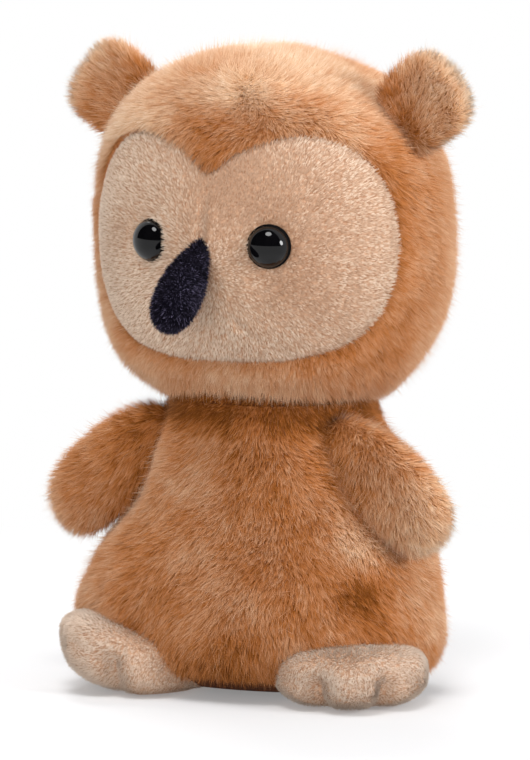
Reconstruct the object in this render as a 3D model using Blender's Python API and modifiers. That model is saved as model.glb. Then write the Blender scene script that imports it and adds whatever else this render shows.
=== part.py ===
"""A small sitting plush owl: fur covers, velour face and feet, stuffing, a pellet pouch and safety eyes.

Metres, +Z up. The owl faces -Y and its left side is +X. The origin is on the floor, under the belly.
"""

import math

import bmesh
import bpy
from mathutils import Matrix, Vector

# Fabrics and fits
fur_wall = 0.0045
velour_wall = 0.0020
seam_gap = 0.0003
turn_gap = 0.0005
cut_overrun = 0.010
weld_distance = 0.000001
search_share = 0.001

# Body, from the floor to the neck seam, and the stuffed ball that the head turns on
body_height = 0.0660
body_width = 0.0880
body_depth = 0.0650
neck_width = 0.0486
neck_ball_swell = 0.0017
neck_setback = 0.0080
base_wall = 0.0025
base_width = 0.0500
base_depth = 0.0345
base_setback = 0.0060
body_outline_shares = (
    (0.000, 0.14, -0.71, 0.75),
    (0.015, 0.42, -0.30, 0.63),
    (0.050, 0.67, 0.22, 0.41),
    (0.110, 0.87, 0.64, 0.16),
    (0.190, 0.99, 0.93, 0.04),
    (0.290, 0.98, 1.00, 0.10),
    (0.450, 0.80, 0.88, 0.46),
    (0.620, 0.56, 0.62, 0.78),
    (0.780, 0.32, 0.35, 0.95),
    (0.920, 0.09, 0.09, 1.00),
    (1.000, 0.00, 0.00, 1.00),
)

# Pellet pouch, lying on the base panel
pouch_width = 0.0480
pouch_depth = 0.0350
pouch_height = 0.0210
pouch_setback = 0.0045
pouch_wall = 0.0010
pouch_mouth_width = 0.0080

# Head
head_width = 0.0868
head_depth = 0.0750
head_height = 0.0854
head_rise = 0.0464
head_setback = 0.0006
head_bluntness = 2.3
face_recess = 0.0015
face_outline_shares = (
    (0.000, 0.415),
    (0.150, 0.515),
    (0.311, 0.580),
    (0.500, 0.604),
    (0.672, 0.550),
    (0.815, 0.420),
    (0.900, 0.230),
    (0.930, -0.005),
    (0.900, -0.239),
    (0.820, -0.426),
    (0.665, -0.575),
    (0.435, -0.650),
    (0.205, -0.672),
)
face_cut_shares = (0.55, 1.70)

# Safety eyes, with a post through the face and a washer behind it
eye_width = 0.0100
eye_spacing = 0.0302
eye_rise = 0.0002
eye_sink = 0.0012
eye_dome = 0.0038
eye_skirt = 0.0008
post_width = 0.0030
post_length = 0.0090
post_point = 0.0012
washer_width = 0.0100
washer_wall = 0.0012
washer_seat = 0.0008

# Beak, a velour drop sewn to the face at its narrow end
beak_length = 0.0278
beak_width = 0.0112
beak_depth = 0.0115
beak_rise = -0.0010
beak_root = 0.0044
beak_wall = 0.0015
beak_slope = math.radians(43)
beak_bluntness = (1.55, 2.30)
beak_taper = 0.30

# Ears, two fur panels each, cupped forwards
ear_width = 0.0236
ear_height = 0.0242
ear_thickness = 0.0090
ear_cup = 0.0040
ear_forward = 0.0016
ear_stand = 0.0032
ear_lean = math.radians(51.5)
ear_bluntness = (2.3, 2.5)
ear_bend = math.radians(12)

# Wings, stuffed paddles that hang from the shoulders
wing_length = 0.0328
wing_width = 0.0240
wing_thickness = 0.0135
wing_root = 0.0080
wing_taper = 0.20
wing_bluntness = (2.2, 2.5)
wing_droop = math.radians(41)
wing_sweep = math.radians(5)
shoulder_drop = 0.0087
shoulder_forward = 0.0125
wing_lift_down = math.radians(-8)
wing_lift_up = math.radians(20)

# Feet, velour pads with two pinched folds that make three toes
foot_width = 0.0355
foot_length = 0.0405
foot_height = 0.0150
foot_flat = 0.0005
foot_bluntness = (2.4, 2.2)
left_foot_splay, right_foot_splay = math.radians(27), math.radians(22)
left_foot_place_shares = (0.67, 0.39)
right_foot_place_shares = (0.50, 0.49)
left_foot_tilt, right_foot_tilt = 0.0, math.radians(9)
toe_fold_angle = math.radians(27)
toe_fold_spread = math.radians(10)
toe_fold_depth = 0.0034

LEFT, RIGHT = 1, -1
SIDES = (("left", LEFT), ("right", RIGHT))
FOOT_PLACES = {
    LEFT: (left_foot_place_shares, left_foot_splay, left_foot_tilt),
    RIGHT: (right_foot_place_shares, right_foot_splay, right_foot_tilt),
}

for old in list(bpy.data.objects):
    bpy.data.objects.remove(old, do_unlink=True)


def new_collection(name):
    collection = bpy.data.collections.new(name)
    bpy.context.scene.collection.children.link(collection)
    return collection


owl = new_collection("plush_owl")
cutters = new_collection("cutters")


def new_material(name, colour, roughness, sheen=0.0):
    material = bpy.data.materials.new(name)
    material.use_nodes = True
    shader = material.node_tree.nodes["Principled BSDF"]
    shader.inputs["Base Color"].default_value = (*colour, 1)
    shader.inputs["Roughness"].default_value = roughness
    shader.inputs["Metallic"].default_value = 0.0
    shader.inputs["Sheen Weight"].default_value = sheen
    material.diffuse_color = (*colour, 1)
    return material


tan_fur = new_material("tan_fur", (0.52, 0.26, 0.11), 0.9, 0.3)
beige_velour = new_material("beige_velour", (0.55, 0.38, 0.26), 0.9, 0.3)
navy_velour = new_material("navy_velour", (0.010, 0.012, 0.030), 0.9, 0.2)
eye_plastic = new_material("eye_plastic", (0.006, 0.006, 0.008), 0.05)
washer_plastic = new_material("washer_plastic", (0.80, 0.80, 0.78), 0.4)
stuffing = new_material("stuffing", (0.85, 0.85, 0.83), 0.95)
pouch_cloth = new_material("pouch_cloth", (0.75, 0.73, 0.68), 0.9)
pellet_plastic = new_material("pellet_plastic", (0.70, 0.70, 0.68), 0.5)


def new_axis(name, place, parent=None):
    """An empty on a joint's axis, which carries the pieces that move about it."""
    axis = bpy.data.objects.new(name, None)
    axis.empty_display_size = neck_width / 2
    owl.objects.link(axis)
    axis.location = place
    if parent:
        axis.parent = parent
        axis.location = place - parent_place(parent)
    return axis


def parent_place(parent):
    """World place of an axis whose own parents aren't turned."""
    place = parent.location.copy()
    while parent.parent:
        parent = parent.parent
        place += parent.location
    return place


def new_mesh(name, bm):
    """A mesh of flat triangles, so that a Boolean always cuts it along the same lines."""
    bmesh.ops.triangulate(bm, faces=bm.faces)
    mesh = bpy.data.meshes.new(name)
    bm.to_mesh(mesh)
    bm.free()
    return mesh


def piece(name, bm, material, place=Vector(), turn=Matrix(), axis=None):
    """A sub-part from a bmesh, smooth, turned and placed, and carried by a joint's axis if it has one."""
    mesh = new_mesh(name, bm)
    mesh.shade_smooth()
    mesh.materials.append(material)
    made = bpy.data.objects.new(name, mesh)
    owl.objects.link(made)
    made.rotation_euler = turn.to_euler()
    made.location = place
    if axis:
        made.parent = axis
        made.location = place - parent_place(axis)
    return made


def cutter(name, bm, place=Vector(), turn=Matrix()):
    made = bpy.data.objects.new(name, new_mesh(name, bm))
    cutters.objects.link(made)
    made.rotation_euler = turn.to_euler()
    made.location = place
    made.hide_render = True
    made.display_type = "WIRE"
    return made


def boolean(made, other, operation="DIFFERENCE"):
    modifier = made.modifiers.new(other.name, "BOOLEAN")
    modifier.operation = operation
    modifier.solver = "EXACT"
    modifier.object = other


def turned_about(made, pivot, line, angle):
    """Turns a cutter about a line through the pivot."""
    turn = Matrix.Rotation(angle, 4, line)
    moved = Matrix.Translation(pivot) @ turn @ Matrix.Translation(-pivot)
    bpy.context.view_layer.update()
    made.matrix_world = moved @ made.matrix_world
    return made


def ringed(rows, segments):
    """A closed form through level rings. A row is (height, half width, half depth, centre y)."""
    bm = bmesh.new()
    last = len(rows) - 1
    bmesh.ops.create_uvsphere(bm, u_segments=segments, v_segments=last, radius=1)
    for vert in bm.verts:
        polar = math.acos(max(-1.0, min(1.0, -vert.co.z)))
        height, half_width, half_depth, centre = rows[round(last * polar / math.pi)]
        around = math.atan2(vert.co.y, vert.co.x)
        vert.co = (half_width * math.cos(around), centre + half_depth * math.sin(around), height)
    return bm


def swollen(length, width, depth, bluntness, taper, rings):
    """Rows of a form that swells along Z, blunter or sharper at its lower and upper end."""
    rows = []
    for ring in range(rings + 1):
        polar = math.pi * ring / rings
        power = 2 / bluntness[0 if polar < math.pi / 2 else 1]
        along = -math.copysign(abs(math.cos(polar)) ** power, math.cos(polar))
        across = 0 if ring in (0, rings) else math.sin(polar) ** power * (1 + taper * along)
        rows.append((along, across))
    widest = max(across for along, across in rows)
    return [
        (along * length / 2, across / widest * width / 2, across / widest * depth / 2, 0)
        for along, across in rows
    ]


def ball(radius, segments, rings):
    return ringed(swollen(2 * radius, 2 * radius, 2 * radius, (2, 2), 0, rings), segments)


def disc(width, depth, height, segments):
    """An upright oval disc, with its lower face at the origin."""
    bm = bmesh.new()
    bmesh.ops.create_cone(bm, cap_ends=True, segments=segments, radius1=1, radius2=1, depth=1)
    for vert in bm.verts:
        vert.co = (vert.co.x * width / 2, vert.co.y * depth / 2, (vert.co.z + 1 / 2) * height)
    return bm


def flattened(bm, floor):
    """Presses whatever lies below the floor up to it."""
    for vert in bm.verts:
        vert.co.z = max(vert.co.z, floor)
    return bm


def turned_profile(name, points, material, place, turn, axis, steps):
    """A piece turned about its own Z from (radius, height) points, from top to bottom."""
    bm = bmesh.new()
    verts = [bm.verts.new((radius, 0, height)) for radius, height in points]
    for first, second in zip(verts, verts[1:]):
        bm.edges.new((first, second))
    made = piece(name, bm, material, place, turn, axis)
    screw = made.modifiers.new("turn", "SCREW")
    screw.steps = steps
    screw.render_steps = steps
    screw.use_merge_vertices = True
    screw.merge_threshold = weld_distance
    screw.use_smooth_shade = True
    return made


def between(before, first, second, after, share):
    """A smooth value from first to second, which keeps the run of the values on either side."""
    slope_in, slope_out = (second - before) / 2, (after - first) / 2
    square, cube = share**2, share**3
    return (
        (2 * cube - 3 * square + 1) * first
        + (cube - 2 * square + share) * slope_in
        + (3 * square - 2 * cube) * second
        + (cube - square) * slope_out
    )


# Body form
neck_ball_radius = neck_width / 2 + neck_ball_swell
neck_pivot = Vector(
    (0, neck_setback, body_height - math.sqrt(neck_ball_radius**2 - (neck_width / 2) ** 2))
)


def body_row(level):
    """Height, swells and setback at a level, which counts along the outline's rows."""
    rows = body_outline_shares
    first = min(int(level), len(rows) - 2)
    spots = [rows[max(0, min(len(rows) - 1, first + step))] for step in (-1, 0, 1, 2)]
    return [between(*values, level - first) for values in zip(*spots)]


def body_section(height):
    """Half width, half depth and centre y of the body at a height."""
    low, high = 0.0, len(body_outline_shares) - 1.0
    while high - low > search_share:
        middle = (low + high) / 2
        low, high = (middle, high) if body_row(middle)[0] * body_height < height else (low, middle)
    wide, deep, setback = body_row(low)[1:]
    half_width = neck_width / 2 + wide * (body_width - neck_width) / 2
    half_depth = neck_width / 2 + deep * (body_depth - neck_width) / 2
    return half_width, half_depth, setback * neck_setback


def body_form(inset, floor, segments, rings, dome_rings):
    """The body and its neck ball in one, drawn in by the inset, with a flat base at the floor."""
    rows = []
    for ring in range(rings + 1):
        height, wide, deep, setback = body_row(ring / rings * (len(body_outline_shares) - 1))
        half_width = neck_width / 2 + wide * (body_width - neck_width) / 2 - inset
        half_depth = neck_width / 2 + deep * (body_depth - neck_width) / 2 - inset
        rise = max(floor, height * body_height)
        rows.append((rise, half_width, half_depth, setback * neck_setback))
    start = math.asin((body_height - neck_pivot.z) / neck_ball_radius)
    for ring in range(1, dome_rings + 1):
        angle = start + (math.pi / 2 - start) * ring / dome_rings
        radius = (neck_ball_radius - inset) * (math.cos(angle) if ring < dome_rings else 0)
        rise = neck_pivot.z + (neck_ball_radius - inset) * math.sin(angle)
        rows.append((rise, radius, radius, neck_setback))
    if floor < 0:
        rows.insert(0, (floor, *rows[0][1:]))
    rows.insert(0, (floor, 0, 0, rows[0][3]))
    return ringed(rows, segments)


# Head form
head_centre = neck_pivot + Vector((0, head_setback, head_rise))


def head_form(inset, segments, rings):
    size = [length - 2 * inset for length in (head_height, head_width, head_depth)]
    return ringed(swollen(*size, (head_bluntness, head_bluntness), 0, rings), segments)


def head_front(x, z, inset):
    """The point on the front of the head at x and z from its centre, and the way out of it."""
    half_width, half_depth, half_height = (
        length / 2 - inset for length in (head_width, head_depth, head_height)
    )
    level = (1 - abs(z / half_height) ** head_bluntness) ** (1 / head_bluntness)
    y = -half_depth * math.sqrt(level**2 - (x / half_width) ** 2)
    steep = level ** (2 - head_bluntness) * abs(z / half_height) ** (head_bluntness - 1) / half_height
    out = Vector((x / half_width**2, y / half_depth**2, math.copysign(steep, z)))
    return head_centre + Vector((x, y, z)), out.normalized()


def head_reach(way, forward):
    """How far the head reaches from its centre, along a way in its side to side plane."""
    low, high = 0.0, head_width + head_height
    while high - low > weld_distance:
        middle = (low + high) / 2
        x, z = middle * way.x / (head_width / 2), middle * way.z / (head_height / 2)
        level = 1 - min(1, abs(z)) ** head_bluntness
        inside = x**2 + (forward / (head_depth / 2)) ** 2 < level ** (2 / head_bluntness)
        low, high = (middle, high) if inside else (low, middle)
    return low


def face_outline(margin):
    """The face's outline from its centre, going round from the notch, drawn in by the margin."""
    half = [Vector((x * head_width / 2, z * head_height / 2)) for x, z in face_outline_shares]
    points = half + [Vector((-point.x, point.y)) for point in reversed(half[1:])]
    count = len(points)
    outline = []
    for index in range(count):
        spots = [points[(index + step) % count] for step in (-1, 0, 1, 2)]
        outline.append(spots[1])
        outline.append(between(*spots, 1 / 2))
    return [point * (1 - margin / point.length) for point in outline]


def face_cutter(name, margin):
    """A wedge from inside the head, wider outwards, that cuts along the face's outline."""
    outline = face_outline(margin)
    bm = bmesh.new()
    bmesh.ops.create_cone(
        bm, cap_ends=True, cap_tris=True, segments=len(outline), radius1=1, radius2=1, depth=2
    )
    for vert in bm.verts:
        reach = face_cut_shares[vert.co.z > 0]
        if vert.co.xy.length > 1 / 2:
            index = round(math.atan2(vert.co.x, vert.co.y) / math.tau * len(outline))
            spot = outline[index % len(outline)]
        else:
            spot = Vector((0, 0))
        vert.co = reach * (head_front(spot.x, spot.y, 0)[0] - head_centre)
    return cutter(name, bm, head_centre)


def pillar(name, width, low, high, place, turn, segments):
    """A round cutter about its own Z, from low to high."""
    bm = disc(width, width, high - low, segments)
    return cutter(name, bm, place + turn @ Vector((0, 0, low)), turn)


# Joint axes
neck_axis = new_axis("neck_turn_axis", neck_pivot)
nod_axis = new_axis("head_nod_axis", neck_pivot, neck_axis)

# Body cover, open at the neck and round the base panel
body_inside = cutter("body_inside", body_form(fur_wall, base_wall, 24, 14, 5))
above_neck = pillar(
    "above_neck", body_width, body_height, body_height + body_width, Vector((0, neck_setback, 0)),
    Matrix(), 24,
)
base_hole = cutter(
    "base_hole",
    disc(base_width + 2 * seam_gap, base_depth + 2 * seam_gap, base_wall + cut_overrun, 32),
    Vector((0, base_setback, -cut_overrun / 2)),
)
body_cover = piece("body_cover", body_form(0, 0, 32, 20, 6), tan_fur)
for shape in (body_inside, above_neck, base_hole):
    boolean(body_cover, shape)
piece("base_panel", disc(base_width, base_depth, base_wall, 32), tan_fur, Vector((0, base_setback, 0)))

# Pellet pouch and pellets, under the stuffing of the body
pouch_floor = base_wall + seam_gap


def pouch_form(inset, floor, segments, rings):
    size = [length - 2 * inset for length in (pouch_height, pouch_width, pouch_depth)]
    bm = ringed(swollen(*size, (2.5, 2.5), 0, rings), segments)
    bmesh.ops.translate(bm, verts=bm.verts, vec=(0, pouch_setback, pouch_floor + pouch_height / 3))
    return flattened(bm, floor)


pouch_inside = cutter("pouch_inside", pouch_form(pouch_wall, pouch_floor + pouch_wall, 20, 10))
pouch_room = cutter("pouch_room", pouch_form(-seam_gap, pouch_floor - base_wall, 24, 12))
pouch_mouth = pillar(
    "pouch_mouth", pouch_mouth_width, pouch_height / 2, pouch_height + cut_overrun,
    Vector((0, pouch_setback, 0)), Matrix(), 16,
)
pellet_pouch = piece("pellet_pouch", pouch_form(0, pouch_floor, 24, 12), pouch_cloth)
boolean(pellet_pouch, pouch_inside)
boolean(pellet_pouch, pouch_mouth)
pellet_inset = pouch_wall + seam_gap
piece("pellets", pouch_form(pellet_inset, pouch_floor + pellet_inset, 20, 10), pellet_plastic)

body_fill = piece("body_fill", body_form(fur_wall + seam_gap, base_wall + seam_gap, 24, 14, 5), stuffing)
boolean(body_fill, above_neck)
boolean(body_fill, pouch_room)

# Stuffed neck ball, in the seam between the two covers
below_neck = pillar(
    "below_neck", body_width, -cut_overrun, body_height + seam_gap, Vector((0, neck_setback, 0)),
    Matrix(), 24,
)
neck_fill = piece("neck_fill", ball(neck_ball_radius, 32, 16), stuffing, neck_pivot, Matrix(), neck_axis)
boolean(neck_fill, below_neck)

# Head cover, open at the face and the neck
neck_socket = cutter("neck_socket", ball(neck_ball_radius + turn_gap, 32, 16), neck_pivot)
head_inside = cutter("head_inside", head_form(fur_wall, 24, 14), head_centre)
head_cover = piece("head_cover", head_form(0, 32, 18), tan_fur, head_centre, Matrix(), nod_axis)
for shape in (head_inside, face_cutter("face_hole", 0), neck_socket):
    boolean(head_cover, shape)

# Face panel
face_inside = cutter("face_inside", head_form(face_recess + velour_wall, 28, 14), head_centre)
face_panel = piece(
    "face_panel", head_form(face_recess, 32, 18), beige_velour, head_centre, Matrix(), nod_axis
)
boolean(face_panel, face_inside)
boolean(face_panel, face_cutter("face_edge", seam_gap), "INTERSECT")

# Stuffing of the head
head_fill = piece(
    "head_fill", head_form(fur_wall + seam_gap, 24, 14), stuffing, head_centre, Matrix(), nod_axis
)
boolean(head_fill, neck_socket)

# Eyes
eye_profile = [
    (math.sin(angle) * eye_width / 2, eye_skirt + math.cos(angle) * eye_dome)
    for angle in (math.pi / 2 * step / 7 for step in range(8))
] + [
    (eye_width / 2, 0),
    (post_width / 2, 0),
    (post_width / 2, post_point - post_length),
    (0, -post_length),
]
washer_profile = [
    (washer_width / 2, 0),
    (washer_width / 2, -washer_wall),
    (post_width / 2 + seam_gap, -washer_wall),
    (post_width / 2 + seam_gap, 0),
    (washer_width / 2, 0),
]
for side, way in SIDES:
    skin, out = head_front(way * eye_spacing / 2, eye_rise, face_recess)
    seat = skin - out * eye_sink
    turn = out.to_track_quat("Z", "Y").to_matrix().to_4x4()
    turned_profile(f"{side}_eye", eye_profile, eye_plastic, seat + out * seam_gap, turn, nod_axis, 24)
    washer_place = skin - out * (velour_wall + washer_seat)
    turned_profile(f"{side}_eye_washer", washer_profile, washer_plastic, washer_place, turn, nod_axis, 20)
    post_hole = pillar(
        f"{side}_post_hole", post_width + 2 * seam_gap, -post_length, cut_overrun, seat, turn, 12
    )
    eye_seat = pillar(f"{side}_eye_seat", eye_width + 2 * seam_gap, 0, cut_overrun, seat, turn, 24)
    boolean(face_panel, post_hole)
    boolean(face_panel, eye_seat)
    eye_pocket = pillar(
        f"{side}_eye_pocket", washer_width + 2 * seam_gap, -post_length - seam_gap, cut_overrun, seat,
        turn, 16,
    )
    boolean(head_fill, eye_pocket)

# Beak
beak_way = Vector((0, -math.cos(beak_slope), -math.sin(beak_slope)))
beak_start = head_front(0, beak_rise, face_recess)[0]
beak_place = beak_start + beak_way * (beak_length / 2 - beak_root)
beak_turn = beak_way.to_track_quat("Z", "X").to_matrix().to_4x4() @ Matrix.Rotation(math.pi / 2, 4, "Z")


def beak_form(inset, segments, rings):
    size = [length - 2 * inset for length in (beak_length, beak_width, beak_depth)]
    return ringed(swollen(*size, beak_bluntness, beak_taper, rings), segments)


face_skin = cutter("face_skin", head_form(face_recess - seam_gap, 32, 18), head_centre)
beak_inside = cutter("beak_inside", beak_form(beak_wall, 12, 8), beak_place, beak_turn)
beak_cover = piece("beak_cover", beak_form(0, 18, 12), navy_velour, beak_place, beak_turn, nod_axis)
boolean(beak_cover, beak_inside)
boolean(beak_cover, face_skin)
beak_fill = piece(
    "beak_fill", beak_form(beak_wall + seam_gap, 12, 8), stuffing, beak_place, beak_turn, nod_axis
)
boolean(beak_fill, face_skin)


# Ears
def ear_form(way, segments, rings):
    """Half of an ear's thickness, in front of its middle if way is -1 and behind it if 1, and cupped."""
    bm = ringed(swollen(ear_height, ear_width, ear_thickness, ear_bluntness, 0, rings), segments)
    for vert in bm.verts:
        vert.co.y = way * max(way * vert.co.y, seam_gap / 2)
        vert.co.y -= ear_cup * (vert.co.x / (ear_width / 2)) ** 2
        vert.co.y -= ear_cup / 2 * (max(0, vert.co.z) / (ear_height / 2)) ** 2
    return bm


for side, way in SIDES:
    ear_way = Vector((way * math.sin(ear_lean), 0, math.cos(ear_lean)))
    ear_seat = head_centre - Vector((0, ear_forward, 0)) + ear_way * head_reach(ear_way, ear_forward)
    ear_axis = new_axis(f"{side}_ear_bend_axis", ear_seat, nod_axis)
    ear_turn = Matrix.Rotation(way * ear_lean, 4, "Y")
    ear_line = ear_turn @ Vector((1, 0, 0))
    skins = [
        turned_about(
            cutter(f"{side}_ear_room_{step}", head_form(-seam_gap, 32, 18), head_centre),
            ear_seat, ear_line, step * ear_bend,
        )
        for step in (-1, 0, 1)
    ]
    for half, half_way in (("front", -1), ("back", 1)):
        ear = piece(
            f"{side}_ear_{half}", ear_form(half_way, 20, 10), tan_fur, ear_seat + ear_way * ear_stand,
            ear_turn, ear_axis,
        )
        for skin in skins:
            boolean(ear, skin)


# Wings
def wing_form(inset, segments, rings):
    size = [length - 2 * inset for length in (wing_length + wing_root, wing_width, wing_thickness)]
    return ringed(swollen(*size, wing_bluntness, wing_taper, rings), segments)


shoulder_height = body_height - shoulder_drop
shoulder_half_width, shoulder_half_depth, shoulder_centre = body_section(shoulder_height)
shoulder_y = neck_setback - shoulder_forward
shoulder_share = (shoulder_y - shoulder_centre) / shoulder_half_depth
shoulder_x = shoulder_half_width * math.sqrt(1 - shoulder_share**2)
for side, way in SIDES:
    shoulder = Vector((way * shoulder_x, shoulder_y, shoulder_height))
    wing_axis = new_axis(f"{side}_wing_lift_axis", shoulder)
    sweep = Matrix.Rotation(-way * wing_sweep, 4, "Z")
    wing_turn = sweep @ Matrix.Rotation(way * (math.pi / 2 + wing_droop), 4, "Y")
    wing_way = wing_turn @ Vector((0, 0, 1))
    wing_place = shoulder + wing_way * (wing_length - wing_root) / 2
    rooms = [
        turned_about(
            cutter(f"{side}_wing_room_{step}", body_form(-seam_gap, 0, 32, 20, 6)),
            shoulder, Vector((0, way, 0)), angle,
        )
        for step, angle in enumerate((0, wing_lift_down, wing_lift_up))
    ]
    wing_inside = cutter(f"{side}_wing_inside", wing_form(fur_wall, 14, 8), wing_place, wing_turn)
    wing_cover = piece(
        f"{side}_wing_cover", wing_form(0, 20, 12), tan_fur, wing_place, wing_turn, wing_axis
    )
    boolean(wing_cover, wing_inside)
    wing_fill = piece(
        f"{side}_wing_fill", wing_form(fur_wall + seam_gap, 14, 8), stuffing, wing_place, wing_turn,
        wing_axis,
    )
    for room in rooms:
        boolean(wing_cover, room)
        boolean(wing_fill, room)


# Feet
def foot_form(inset, outer, tilt, segments, rings):
    """A pad whose front edge is drawn in by two folds, its outer edge tilted up, flat where it stands."""
    size = [length - 2 * inset for length in (foot_height + foot_flat, foot_width, foot_length)]
    bm = ringed(swollen(*size, foot_bluntness, 0, rings), segments)
    for vert in bm.verts:
        around = abs(math.atan2(vert.co.x, -vert.co.y))
        fold = math.exp(-(((around - toe_fold_angle) / toe_fold_spread) ** 2))
        reach = vert.co.xy.length / (foot_length / 2)
        vert.co.xy *= 1 - fold * reach * toe_fold_depth / (foot_length / 2)
        vert.co.z *= 1 - fold * reach**3 * toe_fold_depth / (foot_height / 2)
        vert.co.z += (foot_height - foot_flat) / 2 + math.tan(tilt) * max(0, outer * vert.co.x)
    return flattened(bm, inset)


for side, way in SIDES:
    (width_share, depth_share), foot_splay, tilt = FOOT_PLACES[way]
    foot_place = Vector((way * width_share * body_width / 2, -depth_share * body_depth / 2, 0))
    foot_turn = Matrix.Rotation(way * foot_splay, 4, "Z")
    foot_inside = cutter(
        f"{side}_foot_inside", foot_form(velour_wall, way, tilt, 24, 8), foot_place, foot_turn
    )
    body_skin = cutter(f"{side}_foot_room", body_form(-seam_gap, -cut_overrun, 32, 20, 6))
    foot_cover = piece(
        f"{side}_foot_cover", foot_form(0, way, tilt, 40, 12), beige_velour, foot_place, foot_turn
    )
    boolean(foot_cover, foot_inside)
    boolean(foot_cover, body_skin)
    foot_fill = piece(
        f"{side}_foot_fill", foot_form(velour_wall + seam_gap, way, tilt, 24, 8), stuffing, foot_place,
        foot_turn,
    )
    boolean(foot_fill, body_skin)
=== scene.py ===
# %% [markdown]
# # A small plush owl
#
# This owl sits about 15 cm tall.
# Its body, head, ears and wings are cut from tan plush, whose hairs are some 4 mm long.
# The face and the feet are beige velour, whose hairs are about 1 mm long, and the beak is dark navy velour.
# Every hair here is a small mesh spike, because the look of a plush toy is the look of its hairs.

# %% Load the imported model
import math

import bpy
import numpy as np
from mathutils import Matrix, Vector


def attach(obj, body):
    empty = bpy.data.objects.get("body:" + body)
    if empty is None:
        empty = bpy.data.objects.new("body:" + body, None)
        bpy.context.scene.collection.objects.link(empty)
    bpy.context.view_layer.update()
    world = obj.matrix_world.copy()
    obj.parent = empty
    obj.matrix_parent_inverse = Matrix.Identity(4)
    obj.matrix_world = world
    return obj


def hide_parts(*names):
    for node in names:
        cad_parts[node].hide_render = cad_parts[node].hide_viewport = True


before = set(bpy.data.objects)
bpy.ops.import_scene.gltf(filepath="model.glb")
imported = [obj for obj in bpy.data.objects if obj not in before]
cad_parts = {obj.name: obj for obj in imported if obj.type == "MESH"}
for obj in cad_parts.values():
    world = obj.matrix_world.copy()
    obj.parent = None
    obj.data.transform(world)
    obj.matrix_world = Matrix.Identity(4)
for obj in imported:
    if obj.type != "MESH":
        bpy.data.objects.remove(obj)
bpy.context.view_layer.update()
bpy.context.scene.view_settings.view_transform = "Standard"

# %% [markdown]
# ## Camera, light and floor
#
# The owl is seen from 27 degrees to its left, 7 degrees up and a metre and a half away, through a long lens.
# A long lens keeps the near and the far side of a small toy about the same size.

# %% Camera
view_middle = Vector((0.0012, 0.0006, 0.0700))
view_distance = 1.5
view_round, view_up = math.radians(27), math.radians(7)
view_height = 0.1725
way_to_camera = Vector(
    (math.sin(view_round) * math.cos(view_up), -math.cos(view_round) * math.cos(view_up), math.sin(view_up))
)
lens_data = bpy.data.cameras.new("camera")
lens_data.sensor_fit = "VERTICAL"
sensor_mm = 36
lens_data.sensor_height = sensor_mm
lens_data.lens = sensor_mm * view_distance / view_height
lens_data.clip_end = 20
camera = bpy.data.objects.new("camera", lens_data)
bpy.context.scene.collection.objects.link(camera)
camera.location = view_middle + way_to_camera * view_distance
camera.rotation_euler = way_to_camera.to_track_quat("Z", "Y").to_euler()
bpy.context.scene.camera = camera
print("camera at", [round(value, 3) for value in camera.location])

# %% [markdown]
# Soft toys are photographed in a white room with broad lamps.
# One lamp hangs in front and above, one stands at the right, and one behind lights the edges.
# A fourth, low and in front, lightens the shade under the chin. Mirror reflections don't show it,
# so it puts no extra light in the eyes.
# The world gives the rest of the light, and shows white behind the toy.


# %% Lamps
def soft_lamp(name, place, size, power):
    """A round lamp that faces the owl."""
    data = bpy.data.lights.new(name, "AREA")
    data.shape = "DISK"
    data.size = size
    data.energy = power
    lamp = bpy.data.objects.new(name, data)
    bpy.context.scene.collection.objects.link(lamp)
    lamp.location = place
    lamp.rotation_euler = (Vector(place) - view_middle).to_track_quat("Z", "Y").to_euler()
    return lamp


soft_lamp("lamp_front", (0.16, -0.60, 1.22), 0.55, 8.6)
soft_lamp("lamp_right", (1.02, -0.12, 0.38), 0.36, 7.4)
soft_lamp("lamp_back", (-0.45, 0.60, 1.00), 0.60, 8.0)
soft_lamp("lamp_low", (0.20, -1.10, 0.20), 0.60, 5.6).visible_glossy = False

# %% World
world = bpy.data.worlds.new("white_room")
world.use_nodes = True
bpy.context.scene.world = world
room = world.node_tree
room.nodes.clear()
room_out = room.nodes.new("ShaderNodeOutputWorld")
room_light = room.nodes.new("ShaderNodeBackground")
room_light.inputs["Strength"].default_value = 0.87
room_seen = room.nodes.new("ShaderNodeBackground")
room_seen.inputs["Color"].default_value = (1, 1, 1, 1)
room_seen.inputs["Strength"].default_value = 1.0
room_mix = room.nodes.new("ShaderNodeMixShader")
room_path = room.nodes.new("ShaderNodeLightPath")
room_either = room.nodes.new("ShaderNodeMath")
room_either.operation = "MAXIMUM"
room_any = room.nodes.new("ShaderNodeMath")
room_any.operation = "MAXIMUM"
room.links.new(room_path.outputs["Is Camera Ray"], room_either.inputs[0])
room.links.new(room_path.outputs["Is Glossy Ray"], room_either.inputs[1])
room.links.new(room_either.outputs[0], room_any.inputs[0])
room.links.new(room_path.outputs["Is Transmission Ray"], room_any.inputs[1])
room.links.new(room_any.outputs[0], room_mix.inputs["Fac"])
room.links.new(room_light.outputs[0], room_mix.inputs[1])
room.links.new(room_seen.outputs[0], room_mix.inputs[2])
room.links.new(room_mix.outputs[0], room_out.inputs["Surface"])
print("world strength", room_light.inputs["Strength"].default_value)

# %% [markdown]
# The room behind the camera is dark, so the polished eyes stay black but for the lamps and the floor.
# The wall that does this is a curved sheet far behind the lamps, which only mirror reflections meet.

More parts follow.
